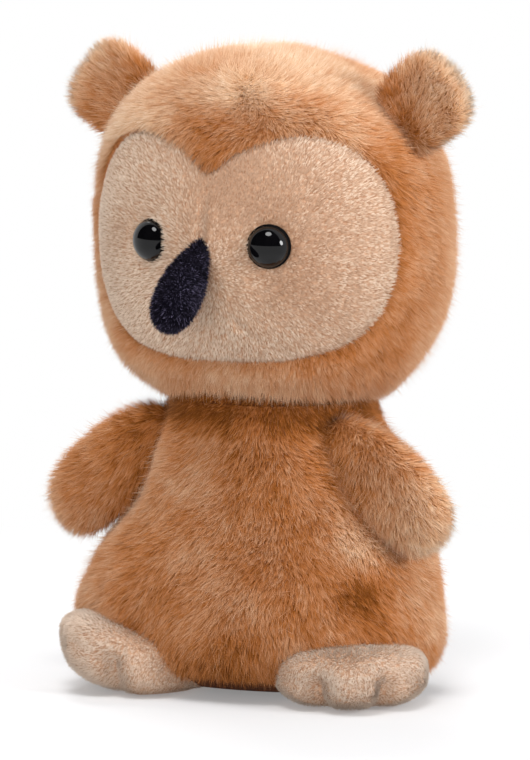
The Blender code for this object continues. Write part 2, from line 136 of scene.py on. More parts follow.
# %% Dark wall
wall_reach, wall_low, wall_high = 2.7, 0.22, 3.6
wall_steps = 24
wall_rings = ((wall_low, 1.0), (1.6, 1.0), (2.8, 0.75), (wall_high, 0.0))
wall_angles = np.linspace(-0.95 * math.pi, -0.05 * math.pi, wall_steps + 1)
wall_points = [
    (wall_reach * lean * math.cos(angle), wall_reach * lean * math.sin(angle), height)
    for height, lean in wall_rings
    for angle in wall_angles
]
wall_faces = [
    (corner, corner + 1, corner + wall_steps + 2, corner + wall_steps + 1)
    for row in range(len(wall_rings) - 1)
    for corner in range(row * (wall_steps + 1), row * (wall_steps + 1) + wall_steps)
]
wall_mesh = bpy.data.meshes.new("dark_wall")
wall_mesh.from_pydata(wall_points, [], wall_faces)
wall = bpy.data.objects.new("dark_wall", wall_mesh)
bpy.context.scene.collection.objects.link(wall)
wall.visible_camera = wall.visible_diffuse = wall.visible_shadow = wall.visible_transmission = False
wall_paint = bpy.data.materials.new("dark_wall_paint")
wall_paint.use_nodes = True
wall_shader = wall_paint.node_tree.nodes["Principled BSDF"]
wall_shader.inputs["Base Color"].default_value = (0.01, 0.01, 0.01, 1)
wall_shader.inputs["Specular IOR Level"].default_value = 0
wall_mesh.materials.append(wall_paint)
print("wall", wall_reach, "m away")

# %% [markdown]
# The floor is a pale sheet that keeps the soft shadow under the toy and fades to white further out.

# %% Floor
floor_half = 3.0
floor_mesh = bpy.data.meshes.new("floor")
floor_mesh.from_pydata(
    [(x * floor_half, y * floor_half, 0) for x, y in ((-1, -1), (1, -1), (1, 1), (-1, 1))], [], [(0, 1, 2, 3)]
)
floor = bpy.data.objects.new("floor", floor_mesh)
bpy.context.scene.collection.objects.link(floor)
floor_paint = bpy.data.materials.new("floor_paint")
floor_paint.use_nodes = True
paint = floor_paint.node_tree
paint.nodes.clear()
paint_out = paint.nodes.new("ShaderNodeOutputMaterial")
paint_matt = paint.nodes.new("ShaderNodeBsdfDiffuse")
paint_matt.inputs["Color"].default_value = (0.69, 0.69, 0.70, 1)
paint_white = paint.nodes.new("ShaderNodeEmission")
paint_white.inputs["Strength"].default_value = 1.0
paint_mix = paint.nodes.new("ShaderNodeMixShader")
paint_place = paint.nodes.new("ShaderNodeTexCoord")
paint_far = paint.nodes.new("ShaderNodeVectorMath")
paint_far.operation = "LENGTH"
paint_fade = paint.nodes.new("ShaderNodeMapRange")
paint_fade.interpolation_type = "SMOOTHSTEP"
paint_fade.inputs["From Min"].default_value = 0.07
paint_fade.inputs["From Max"].default_value = 0.26
paint_fade.inputs["To Min"].default_value = 0.22
paint.links.new(paint_place.outputs["Object"], paint_far.inputs[0])
paint.links.new(paint_far.outputs["Value"], paint_fade.inputs["Value"])
paint.links.new(paint_fade.outputs["Result"], paint_mix.inputs["Fac"])
paint.links.new(paint_matt.outputs[0], paint_mix.inputs[1])
paint.links.new(paint_white.outputs[0], paint_mix.inputs[2])
paint.links.new(paint_mix.outputs[0], paint_out.inputs["Surface"])
floor_mesh.materials.append(floor_paint)
print("floor", floor_half * 2, "m wide")

# %% [markdown]
# ## Finishes
#
# A hair is dark at its root, where little light reaches it, and pale at its tip.
# Each hair's texture coordinate holds two numbers: across, how pale the hair is as a whole, and up, the way from
# its root to its tip.
# One node group turns the two numbers into a colour, so fur, velour and the beak share it with their own colours.


# %% Pile colour group
def pile_group():
    group = bpy.data.node_groups.new("pile_colour", "ShaderNodeTree")
    for name in ("Root Dark", "Root Pale", "Tip Dark", "Tip Pale"):
        group.interface.new_socket(name, in_out="INPUT", socket_type="NodeSocketColor")
    for name in ("Reach", "Richness", "Depth"):
        group.interface.new_socket(name, in_out="INPUT", socket_type="NodeSocketFloat")
    group.interface.new_socket("Colour", in_out="OUTPUT", socket_type="NodeSocketColor")
    group.interface.new_socket("Roughness", in_out="OUTPUT", socket_type="NodeSocketFloat")
    nodes, links = group.nodes, group.links
    taken = nodes.new("NodeGroupInput")
    given = nodes.new("NodeGroupOutput")
    uv = nodes.new("ShaderNodeUVMap")
    uv.uv_map = "OFBake"
    split = nodes.new("ShaderNodeSeparateXYZ")
    links.new(uv.outputs["UV"], split.inputs[0])
    rise = nodes.new("ShaderNodeMath")
    rise.operation = "POWER"
    links.new(split.outputs["Y"], rise.inputs[0])
    links.new(taken.outputs["Reach"], rise.inputs[1])
    rich = nodes.new("ShaderNodeMath")
    rich.operation = "POWER"
    links.new(split.outputs["X"], rich.inputs[0])
    links.new(taken.outputs["Richness"], rich.inputs[1])
    mixes = []
    for low, high in (("Root Dark", "Root Pale"), ("Tip Dark", "Tip Pale")):
        mix = nodes.new("ShaderNodeMix")
        mix.data_type = "RGBA"
        links.new(rich.outputs[0], mix.inputs["Factor"])
        links.new(taken.outputs[low], mix.inputs["A"])
        links.new(taken.outputs[high], mix.inputs["B"])
        mixes.append(mix)
    along = nodes.new("ShaderNodeMix")
    along.data_type = "RGBA"
    links.new(rise.outputs[0], along.inputs["Factor"])
    links.new(mixes[0].outputs["Result"], along.inputs["A"])
    links.new(mixes[1].outputs["Result"], along.inputs["B"])
    # Painted shade: a hair whose tone is near the dark end is scaled down towards the given value, as the shade in
    # creases and hollows.
    depth = nodes.new("ShaderNodeMapRange")
    depth.inputs["From Max"].default_value = 0.14
    links.new(taken.outputs["Depth"], depth.inputs["To Min"])
    links.new(split.outputs["X"], depth.inputs["Value"])
    darker = nodes.new("ShaderNodeVectorMath")
    darker.operation = "SCALE"
    links.new(along.outputs["Result"], darker.inputs[0])
    links.new(depth.outputs["Result"], darker.inputs["Scale"])
    links.new(darker.outputs["Vector"], given.inputs["Colour"])
    rough = nodes.new("ShaderNodeMapRange")
    rough.inputs["To Min"].default_value = 0.95
    rough.inputs["To Max"].default_value = 0.72
    links.new(split.outputs["Y"], rough.inputs["Value"])
    links.new(rough.outputs["Result"], given.inputs["Roughness"])
    return group


pile_colour = pile_group()
print("pile group:", len(pile_colour.nodes), "nodes")


# %% Pile materials
def linear(colour):
    """Light values of a colour that is written as it looks on screen, from 0 to 255."""
    values = [part / 255 for part in colour]
    return (*[v / 12.92 if v < 0.04045 else ((v + 0.055) / 1.055) ** 2.4 for v in values], 1)


def tip_pale_tint(tip_pale):
    """The gleam of a hair's edge takes after its pale tip."""
    return linear([part + (255 - part) * 0.3 for part in tip_pale])


def pile_material(name, root_dark, root_pale, tip_dark, tip_pale, reach, sheen, shine=0.2, richness=1.0, depth=1.0):
    material = bpy.data.materials.new(name)
    material.use_nodes = True
    tree = material.node_tree
    shader = tree.nodes["Principled BSDF"]
    shader.inputs["Specular IOR Level"].default_value = shine
    shader.inputs["Sheen Weight"].default_value = sheen
    shader.inputs["Sheen Roughness"].default_value = 0.45
    shader.inputs["Sheen Tint"].default_value = tip_pale_tint(tip_pale)
    colour = tree.nodes.new("ShaderNodeGroup")
    colour.node_tree = pile_colour
    for socket, value in zip(
        ("Root Dark", "Root Pale", "Tip Dark", "Tip Pale"), (root_dark, root_pale, tip_dark, tip_pale)
    ):
        colour.inputs[socket].default_value = linear(value)
    for socket, value in (("Reach", reach), ("Richness", richness), ("Depth", depth)):
        colour.inputs[socket].default_value = value
    tree.links.new(colour.outputs["Colour"], shader.inputs["Base Color"])
    tree.links.new(colour.outputs["Roughness"], shader.inputs["Roughness"])
    material.diffuse_color = linear(tip_dark)
    return material


# For the fur and the face velour, the last number sets how far the painted shade darkens their darkest tones. The feet
# and the beak get none.
fur_pile = pile_material(
    "tan_fur_pile", (132, 66, 18), (222, 154, 88), (208, 123, 46), (252, 235, 210), 1.2, 0.12, 0.08, 1.6, 0.38
)
velour_pile = pile_material(
    "beige_velour_pile", (146, 114, 90), (204, 178, 156), (210, 172, 144), (252, 236, 216), 0.9, 0.2, 0.2, 1.0, 0.85
)
foot_pile = pile_material(
    "foot_velour_pile", (164, 135, 114), (208, 184, 164), (214, 183, 158), (248, 234, 218), 0.9, 0.2
)
navy_pile = pile_material("navy_velour_pile", (2, 1, 5), (5, 4, 11), (5, 3, 11), (150, 140, 176), 2.0, 0.01, 0.05)
print("pile materials:", fur_pile.name, velour_pile.name, navy_pile.name)


# %% Cloth under the pile
def cloth_material(name, dark, pale, grain, bump):
    """Knitted backing, whose loops show as a fine grain between the hairs."""
    material = bpy.data.materials.new(name)
    material.use_nodes = True
    tree = material.node_tree
    shader = tree.nodes["Principled BSDF"]
    shader.inputs["Roughness"].default_value = 0.95
    shader.inputs["Specular IOR Level"].default_value = 0.1
    place = tree.nodes.new("ShaderNodeTexCoord")
    loops = tree.nodes.new("ShaderNodeTexNoise")
    loops.inputs["Scale"].default_value = 1 / grain
    loops.inputs["Detail"].default_value = 3
    tree.links.new(place.outputs["Object"], loops.inputs["Vector"])
    ramp = tree.nodes.new("ShaderNodeValToRGB")
    ramp.color_ramp.elements[0].position = 0.35
    ramp.color_ramp.elements[1].position = 0.70
    ramp.color_ramp.elements[0].color = linear(dark)
    ramp.color_ramp.elements[1].color = linear(pale)
    tree.links.new(loops.outputs["Fac"], ramp.inputs["Fac"])
    tree.links.new(ramp.outputs["Color"], shader.inputs["Base Color"])
    raised = tree.nodes.new("ShaderNodeBump")
    raised.inputs["Strength"].default_value = bump
    raised.inputs["Distance"].default_value = 0.0003
    tree.links.new(loops.outputs["Fac"], raised.inputs["Height"])
    tree.links.new(raised.outputs["Normal"], shader.inputs["Normal"])
    material.diffuse_color = linear(pale)
    return material


fur_backing = cloth_material("fur_backing", (134, 80, 44), (172, 112, 68), 0.0012, 0.5)
velour_backing = cloth_material("velour_backing", (150, 112, 86), (190, 152, 124), 0.0008, 0.6)
navy_backing = cloth_material("navy_backing", (4, 3, 9), (13, 11, 22), 0.0008, 0.6)
# A dark brown cloth for the neck ball and the body's lowest band. Its colour is painted shade.
painted_shade_backing = cloth_material("painted_shade_backing", (66, 34, 16), (92, 50, 26), 0.0012, 0.5)
print("backings:", fur_backing.name, velour_backing.name, navy_backing.name)

# %% [markdown]
# ## Helpers for soft forms
#
# Every stuffed part is a stack of oval rings, which swells and tapers from one end to the other.
# The rings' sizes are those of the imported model, and the cloth lies a few millimetres inside them, so that the
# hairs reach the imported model's surface.


# %% Noise and smooth tables
def smooth_noise(points, size, seed):
    """Soft random values about 0, which change over about the given size."""
    random = np.random.default_rng(seed)
    waves = random.normal(size=(3, 20)) / size
    starts = random.random(20) * math.tau
    return np.sin(points @ waves + starts).sum(1) / math.sqrt(10)


def smooth_rows(table, count):
    """A table's rows, sampled along a smooth curve through them."""
    table = np.array(table, float)
    at = np.linspace(0, len(table) - 1, count)
    first = np.minimum(at.astype(int), len(table) - 2)
    share = (at - first)[:, None]
    before, here, there, after = (table[np.clip(first + step, 0, len(table) - 1)] for step in (-1, 0, 1, 2))
    square, cube = share**2, share**3
    return (
        (2 * cube - 3 * square + 1) * here
        + (cube - 2 * square + share) * (there - before) / 2
        + (3 * square - 2 * cube) * there
        + (cube - square) * (after - here) / 2
    )


print("noise spread:", round(float(smooth_noise(np.random.default_rng(1).random((999, 3)), 0.1, 1).std()), 2))


# %% Stacked rings
def ring_form(rows, segments):
    """Points and faces of a closed form. A row is (height, half width, half depth, centre y)."""
    around = np.arange(segments) * math.tau / segments
    points = [(0, rows[0][3], rows[0][0])]
    for height, half_width, half_depth, centre in rows[1:-1]:
        x, y = half_width * np.cos(around), centre + half_depth * np.sin(around)
        points += list(zip(x, y, np.full(segments, height)))
    points.append((0, rows[-1][3], rows[-1][0]))
    faces = []
    last = len(points) - 1
    for step in range(segments):
        following = (step + 1) % segments
        faces.append((0, 1 + following, 1 + step))
        for ring in range(len(rows) - 3):
            low, high = 1 + ring * segments, 1 + (ring + 1) * segments
            faces.append((low + step, low + following, high + following, high + step))
        top = 1 + (len(rows) - 3) * segments
        faces.append((top + step, top + following, last))
    return np.array(points, float), faces


def swollen_rows(length, width, depth, bluntness, taper, rings):
    """Rows of a form that swells along Z, blunter or sharper at its lower and upper end."""
    polar = math.pi * np.arange(rings + 1) / rings
    power = np.where(polar < math.pi / 2, 2 / bluntness[0], 2 / bluntness[1])
    along = -np.sign(np.cos(polar)) * np.abs(np.cos(polar)) ** power
    across = np.sin(polar) ** power * (1 + taper * along)
    across[[0, -1]] = 0
    across /= across.max()
    half = np.stack([along * length / 2, across * width / 2, across * depth / 2, along * 0], 1)
    return half.tolist()


def triangles_of(faces):
    quads = np.array([face if len(face) == 4 else (*face, face[2]) for face in faces])
    halves = np.concatenate([quads[:, [0, 1, 2]], quads[:, [0, 2, 3]]])
    return halves[(halves[:, 1] != halves[:, 2])]


def normals_of(points, faces):
    """The way out of a form at each of its points."""
    corners = triangles_of(faces)
    a, b, c = points[corners[:, 0]], points[corners[:, 1]], points[corners[:, 2]]
    face_out = np.cross(b - a, c - a)
    out = np.zeros_like(points)
    for corner in range(3):
        np.add.at(out, corners[:, corner], face_out)
    return unit(out)


def unit(vectors):
    return vectors / np.maximum(np.linalg.norm(vectors, axis=1, keepdims=True), 1e-12)


test_points, test_faces = ring_form(swollen_rows(1, 1, 1, (2, 2), 0, 12), 16)
print("a ball of", len(test_points), "points,", len(test_faces), "faces")


# %% Cloth pieces
def cloth_piece(name, points, faces, material, body, stands_for=()):
    """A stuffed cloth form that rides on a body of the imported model."""
    mesh = bpy.data.meshes.new(name)
    mesh.from_pydata(points.tolist(), [], faces)
    mesh.shade_smooth()
    mesh.materials.append(material)
    made = bpy.data.objects.new(name, mesh)
    bpy.context.scene.collection.objects.link(made)
    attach(made, body)
    if stands_for:
        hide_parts(*stands_for)
    print(name, len(faces), "faces on", body)
    return made


# %% [markdown]
# ## Hairs
#
# Real hair systems would be lost when the model is exported, so each hair is a thin spike of mesh.
# Hairs are strewn evenly over the cloth, lean along the nap, and their tips gather in small tufts, as plush does
# once it has been handled.


# %% Strewing and tufts
def strew(points, faces, density, random):
    """Even random places on a form, with the way out of it there. The density counts per square millimetre."""
    corners = triangles_of(faces)
    a, b, c = points[corners[:, 0]], points[corners[:, 1]], points[corners[:, 2]]
    area = np.linalg.norm(np.cross(b - a, c - a), axis=1) / 2
    count = int(area.sum() * 1e6 * density)
    chosen = random.choice(len(corners), count, p=area / area.sum())
    first, second = random.random((2, count))
    over = first + second > 1
    first, second = np.where(over, 1 - first, first), np.where(over, 1 - second, second)
    share = np.stack([1 - first - second, first, second], 1)[:, :, None]
    place = (points[corners[chosen]] * share).sum(1)
    out = unit((normals_of(points, faces)[corners[chosen]] * share).sum(1))
    return place, out


def tuft_middles(places, size, seed):
    """The nearest of many scattered tuft middles, and a random value of that tuft, for each place."""
    cell = np.floor(places / size).astype(np.int64)
    nearest = np.full(len(places), np.inf)
    middle = places.copy()
    value = np.zeros(len(places))
    for step in np.ndindex(3, 3, 3):
        near = cell + np.array(step) - 1
        mixed = (near * np.array([73856093, 19349663, 83492791])).sum(1) + seed * 2654435761
        parts = []
        for turn in (1, 2, 3, 4):
            mixed = (mixed ^ (mixed >> 15)) * 2246822519 % (1 << 32)
            mixed = (mixed ^ (mixed >> 13)) * 3266489917 % (1 << 32)
            parts.append((mixed % 65536) / 65536)
        centre = (near + np.stack(parts[:3], 1)) * size
        gap = ((places - centre) ** 2).sum(1)
        closer = gap < nearest
        nearest = np.where(closer, gap, nearest)
        middle = np.where(closer[:, None], centre, middle)
        value = np.where(closer, parts[3], value)
    return middle, value


print("tuft helpers ready")


# %% Spikes
def spike_mesh(name, rings, normals, widths, tone, material):
    """One mesh of three-sided spikes. Rings are arrays of middles from root to tip, the last one a point."""
    count, steps = len(rings[0]), len(rings) - 1
    along = unit(rings[-1] - rings[0])
    side = unit(np.cross(normals + 1e-4, along))
    ridge = np.cross(along, side)
    corners, corner_normals = [], []
    for step in range(steps):
        for turn in range(3):
            angle = math.pi / 2 + turn * math.tau / 3
            way = math.cos(angle) * side + math.sin(angle) * ridge
            corners.append(rings[step] + way * widths[step][:, None] / 2)
            corner_normals.append(unit(normals * 0.72 + way * 0.28))
    corners.append(rings[-1])
    corner_normals.append(unit(normals * 0.8 + along * 0.2))
    size = steps * 3 + 1
    points = np.stack(corners, 1).reshape(-1, 3)
    point_normals = np.stack(corner_normals, 1).reshape(-1, 3)
    shapes = []
    for step in range(steps):
        for turn in range(3):
            here, there = step * 3 + turn, step * 3 + (turn + 1) % 3
            shapes.append((here, there, size - 1) if step == steps - 1 else (here, there, there + 3, here + 3))
    flat = np.array([corner for shape in shapes for corner in shape])
    lengths = np.array([len(shape) for shape in shapes])
    loops = (np.arange(count)[:, None] * size + flat).reshape(-1).astype(np.int32)
    totals = np.tile(lengths, count).astype(np.int32)
    starts = np.concatenate([[0], np.cumsum(totals)[:-1]]).astype(np.int32)
    mesh = bpy.data.meshes.new(name)
    mesh.vertices.add(len(points))
    mesh.vertices.foreach_set("co", points.astype(np.float32).reshape(-1))
    mesh.loops.add(len(loops))
    mesh.loops.foreach_set("vertex_index", loops)
    mesh.polygons.add(len(totals))
    mesh.polygons.foreach_set("loop_start", starts)
    mesh.update(calc_edges=True)
    mesh.shade_smooth()
    rise = np.array([min(corner // 3, steps) / steps for corner in flat])
    lean = np.array([(corner % 3 - 1) * 0.006 if corner < size - 1 else 0 for corner in flat])
    across = np.clip(tone[:, None] + lean, 0.01, 0.99)
    uv = np.stack([across, np.broadcast_to(np.clip(rise, 0.01, 0.99), across.shape)], 2)
    layer = mesh.uv_layers.new(name="OFBake")
    layer.uv.foreach_set("vector", uv.astype(np.float32).reshape(-1))
    mesh.normals_split_custom_set_from_vertices(point_normals)
    mesh.materials.append(material)
    return mesh




# %% Sewing the pile on
piece_hairs = 60000
root_depth, floor_gap = 0.0002, 0.0004
lock_size = 0.0034


def grow(
    name, form, body, material, density, length, width, lean, nap, tone, seed,
    keep=None, bend=0.25, gather=0.45, tuft=0.0009, stray=0.12, patchy=0.30,
    settle=0.6, upright=0.65, locky=1.0,
):
    """Hairs over a form. Length, lean, nap and tone may be functions of place and way out."""
    random = np.random.default_rng(seed)
    place, out = strew(*form, density, random)
    if keep is not None:
        chosen = keep(place, out)
        place, out = place[chosen], out[chosen]
    count = len(place)

    def spread(value):
        return value(place, out) if callable(value) else np.full(count, value)

    long = spread(length) * random.uniform(0.72, 1.12, count)
    leaning = spread(lean) + smooth_noise(place, 0.004, seed + 1) * 0.10 + random.normal(size=count) * stray * 0.6
    leaning = np.clip(leaning, 0.05, 1.45)[:, None]
    flow = nap(place, out)
    flow = flow - (flow * out).sum(1, keepdims=True) * out
    combed = np.clip(np.linalg.norm(flow, axis=1, keepdims=True) / 0.35, 0, 1)
    leaning = leaning * (settle + (1 - settle) * combed)
    long = long * (upright + (1 - upright) * combed[:, 0])
    lock_place = place + random.normal(size=(count, 3)) * lock_size * 0.18
    lock_value = tuft_middles(lock_place, lock_size, seed + 7)[1] - 0.5
    swirl = np.stack([smooth_noise(place, 0.006, seed + 2 + axis) for axis in range(3)], 1)
    flow = flow + swirl * 0.16 + random.normal(size=(count, 3)) * stray
    flow = flow + np.cross(out, flow) * (np.sin(lock_value * 41) * 0.26 * locky)[:, None]
    flow = unit(flow - (flow * out).sum(1, keepdims=True) * out)
    first = out * np.cos(leaning * (1 - bend)) + flow * np.sin(leaning * (1 - bend))
    second = out * np.cos(leaning * (1 + bend)) + flow * np.sin(leaning * (1 + bend))
    middle, value = tuft_middles(place, tuft, seed)
    pull = middle - place
    pull -= (pull * out).sum(1, keepdims=True) * out
    root = place - out * root_depth
    tip = root + (first + second) * long[:, None] / 2 + pull * gather
    tip[:, 2] = np.maximum(tip[:, 2], floor_gap)
    thick = width * random.uniform(0.75, 1.2, count)
    shade = spread(tone) + (value - 0.5) * patchy + lock_value * 0.20 * locky + random.normal(size=count) * 0.09
    shade = np.clip(shade, 0.02, 0.98)
    pieces = math.ceil(count / piece_hairs)
    for part in range(pieces):
        take = slice(part * piece_hairs, (part + 1) * piece_hairs)
        mesh = spike_mesh(
            f"{name}_{part + 1}", [root[take], tip[take]], out[take], [thick[take], thick[take] * 0.72],
            shade[take], material,
        )
        hairs = bpy.data.objects.new(mesh.name, mesh)
        bpy.context.scene.collection.objects.link(hairs)
        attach(hairs, body)
    print(name, count, "hairs in", pieces, "pieces")


def guard_hairs(name, form, body, length, lean, nap, tone, seed, keep):
    """A few longer, finer hairs that stand out of the pile and soften its outline."""
    return grow(
        name, form, body, fur_pile, 1.6, length, 0.00011, lean, nap, tone, seed, keep, bend=0.35, gather=0.2,
        stray=0.30, patchy=0.2,
    )


def patches(points, spots):
    """Sum of soft round patches. A spot is (x, y, z, radius, amount) in millimetres."""
    total = np.zeros(len(points))
    for x, y, z, radius, amount in spots:
        gap = ((points * 1000 - (x, y, z)) ** 2).sum(1)
        total += amount * np.exp(-gap / radius**2)
    return total


def away_from(x, y, z):
    """A nap that flows away from a point in millimetres."""
    return lambda place, out: unit(place - np.array([x, y, z]) / 1000)


print("pile helpers ready")

# %% [markdown]
# ## Body
#
# The body is a stuffed bell with a flat base, on which the pellets rest.
# Its cloth is drawn in a little where the wings pull on it, and it bulges below them.

# %% Body cloth
body_height, body_width, body_depth = 0.0660, 0.0880, 0.0650
neck_width, neck_swell, neck_back = 0.0486, 0.0017, 0.0080
neck_radius = neck_width / 2 + neck_swell
neck_pivot = np.array([0, neck_back, body_height - math.sqrt(neck_radius**2 - (neck_width / 2) ** 2)])
cloth_inset = 0.0018
body_outline_shares = (
    (0.000, 0.14, -0.71, 0.75),
    (0.015, 0.42, -0.30, 0.63),
    (0.050, 0.67, 0.22, 0.41),
    (0.110, 0.87, 0.64, 0.16),
    (0.190, 0.99, 0.93, 0.04),
    (0.290, 0.98, 1.00, 0.10),
    (0.450, 0.80, 0.88, 0.46),
    (0.620, 0.56, 0.62, 0.78),
    (0.780, 0.32, 0.35, 0.95),
    (0.920, 0.09, 0.09, 1.00),
    (1.000, 0.00, 0.00, 1.00),
)


def body_rows(inset, floor, rings):
    rows = []
    for height, wide, deep, back in smooth_rows(body_outline_shares, rings):
        half_width = neck_width / 2 + wide * (body_width - neck_width) / 2 - inset
        half_depth = neck_width / 2 + deep * (body_depth - neck_width) / 2 - inset
        rows.append((max(floor, height * body_height), half_width, half_depth, back * neck_back))
    start = math.asin((body_height - neck_pivot[2]) / neck_radius)
    for angle in np.linspace(start, math.pi / 2, 9)[1:]:
        radius = (neck_radius - inset) * math.cos(angle)
        rows.append((neck_pivot[2] + (neck_radius - inset) * math.sin(angle), radius, radius, neck_back))
    return [(floor, 0, 0, rows[0][3]), *rows]


body_points, body_faces = ring_form(body_rows(cloth_inset, 0.0012, 60), 120)
body_folds = [
    (33, -12, 42, 7, -1.0), (35, -10, 33, 9, 2.2), (-33, -10, 43, 9, -1.6), (-34, -8, 31, 12, 0.8),
    (24, -13, 60, 6, -2.6), (-25, -13, 60, 5, -1.6), (16, -19, 55, 6, 1.2), (-20, -18, 55, 7, 1.2),
    (-30, -7, 51, 8, -4.0), (-34, -4, 44, 8, -3.0), (-13, -26, 15, 9, -3.4), (-30, -18, 14, 8, -1.0),
    (20, -25, 13, 8, -0.8), (-36, -12, 34, 14, -1.1), (-11, -17, 61, 4, -1.2), (4, -19, 61, 6, 0.8),
    (0, -26, 22, 20, 0.5), (30, 20, 40, 16, -0.6), (-30, 20, 40, 16, -0.6), (23, 17, 61, 9, -1.2),
]
lumps = smooth_noise(body_points, 0.012, 11) * 0.0003
body_out = normals_of(body_points, body_faces)
rise = (patches(body_points, body_folds) / 1000 + lumps) * np.clip((body_points[:, 2] - 0.003) / 0.01, 0, 1)
body_points = body_points + body_out * rise[:, None]
body_cloth = cloth_piece(
    "body_cloth", body_points, body_faces, fur_backing, "body", ("body_cover", "base_panel", "body_fill")
)
# The lowest band of the body, below 6.4 mm, takes the dark cloth as painted shade where the base curves in.
body_cloth.data.materials.append(painted_shade_backing)
low = [max(body_points[corner][2] for corner in face) < 0.0064 for face in body_faces]
body_cloth.data.polygons.foreach_set("material_index", np.array(low, np.int32))

# %% Body fur
row_table = np.array(body_rows(cloth_inset, 0.0012, 60)[1:])


def in_body(place, margin):
    """Which places lie deeper inside the body's cloth than the margin."""
    wide, deep, centre = (np.interp(place[:, 2], row_table[:, 0], row_table[:, column]) for column in (1, 2, 3))
    wide, deep = np.maximum(wide - margin, 1e-4), np.maximum(deep - margin, 1e-4)
    return (place[:, 0] / wide) ** 2 + ((place[:, 1] - centre) / deep) ** 2 < 1


# Spots of tone, in millimetres. Those in the hollows under the chin, at the wing roots and low at the front above the
# feet are painted shade. The pale band under the left wing and the pale edge beside the right wing are painted light.
# The rest are the fur's own patches.
body_tone_light_and_shade_spots = [
    (31, -14, 37, 7, 0.54), (-27, -14, 44, 7, 0.16), (34, -16, 28, 10, -0.42), (28, -22, 19, 7, 0.14),
    (24, -13, 60, 6, -0.50),
    (-25, -13, 59, 5, -0.30), (-11, -18, 61, 5, -0.30), (14, -16, 64, 6, -0.14), (0, -22, 54, 12, -0.10),
    (6, -19, 62, 5, 0.10), (-6, -30, 24, 10, 0.06), (42, 0, 18, 14, 0.22), (18, -27, 44, 8, -0.10),
    (-12, -26, 14, 8, -0.10), (-34, -6, 48, 7, 0.20), (6, -28, 12, 10, -0.04), (4, -30, 32, 12, -0.03),
]


def body_nap(place, out):
    """Down and outwards from the neck, and into the hollow in front of each wing."""
    flow = away_from(0, 8, 86)(place, out) + np.array([0, 0, -0.6])
    for way in (1, -1):
        hollow = np.array([way * 0.026, -0.010, 0.057]) - place
        flow = flow + 1.6 * unit(hollow) * np.exp(-(hollow**2).sum(1, keepdims=True) / 0.011**2)
    return unit(flow)


def body_tone_light_and_shade(place, out):
    shade = 0.34 + smooth_noise(place, 0.010, 21) * 0.07 + smooth_noise(place, 0.004, 22) * 0.05
    # Painted shade: darker towards the neck under the head, and darker towards the floor at the bottom.
    shade = shade + patches(place, body_tone_light_and_shade_spots) - 0.42 * np.clip((place[:, 2] - 0.058) / 0.006, 0, 1)
    return shade - 0.22 * np.exp(-((place[:, 2] / 0.011) ** 2)) - 0.5 * np.exp(-((place[:, 2] / 0.006) ** 2))


def body_length(place, out):
    rise = place[:, 2]
    return 0.0037 * np.clip((rise + 0.001) / 0.010, 0.4, 1) * np.clip((0.0720 - rise) / 0.010, 0.5, 1)


def body_lean(place, out):
    """The hairs stand up under the chin, and lie down elsewhere."""
    return 0.80 - 0.40 * np.clip((place[:, 2] - 0.061) / 0.004, 0, 1)


# No hairs grow below 5.8 mm, so the dark cloth shows there as painted shade under the body.
def body_keep(place, out):
    return (place[:, 2] > 0.0058) & (place[:, 2] < 0.0672)


grow(
    "body_fur", (body_points, body_faces), "body", fur_pile, 15.0, body_length, 0.00015, body_lean, body_nap, body_tone_light_and_shade,
    101, body_keep, locky=0.6,
)
guard_hairs(
    "body_guard", (body_points, body_faces), "body", lambda place, out: body_length(place, out) * 1.4, 0.75, body_nap,
    lambda place, out: body_tone_light_and_shade(place, out) + 0.25, 102, body_keep,
)

# %% [markdown]
# ## Neck
#
# The head turns on a stuffed ball, which only shows as a line under the chin. Its cloth and its short hairs are painted
# dark, as the shade there.

# %% Neck cloth
neck_rows = []
neck_start = math.asin((body_height + 0.0004 - neck_pivot[2]) / neck_radius)
for angle in np.linspace(neck_start, math.pi / 2, 20):
    radius = (neck_radius - 0.0014) * math.cos(angle)
    neck_rows.append((neck_pivot[2] + (neck_radius - 0.0014) * math.sin(angle), radius, radius, neck_back))
neck_points, neck_faces = ring_form([(neck_rows[0][0], 0, 0, neck_back), *neck_rows], 72)
cloth_piece("neck_cloth", neck_points, neck_faces, painted_shade_backing, "neck", ("neck_fill",))


def neck_keep(place, out):
    return (out[:, 2] < 0.75) & (out[:, 2] > 0.25) & (place[:, 2] > body_height + 0.0006)


# The neck's hairs take the darkest tone, as painted shade.
grow(
    "neck_fur_painted_shade", (neck_points, neck_faces), "neck", fur_pile, 12.0, 0.0030, 0.00017, 0.95, body_nap, 0.02, 151,
    neck_keep,
)

# %% [markdown]
# ## Head
#
# The head is a stuffed ball with blunt corners, with a hollow below that fits the neck ball.

# %% Head cloth
head_width, head_depth, head_height = 0.0868, 0.0750, 0.0854
head_centre = neck_pivot + np.array([0, 0.0006, 0.0464])
head_bluntness = 2.3
face_recess = 0.0015


def head_form(inset, segments, rings):
    rows = swollen_rows(
        head_height - 2 * inset, head_width - 2 * inset, head_depth - 2 * inset,
        (head_bluntness, head_bluntness), 0, rings,
    )
    points, faces = ring_form(rows, segments)
    return points + head_centre, faces


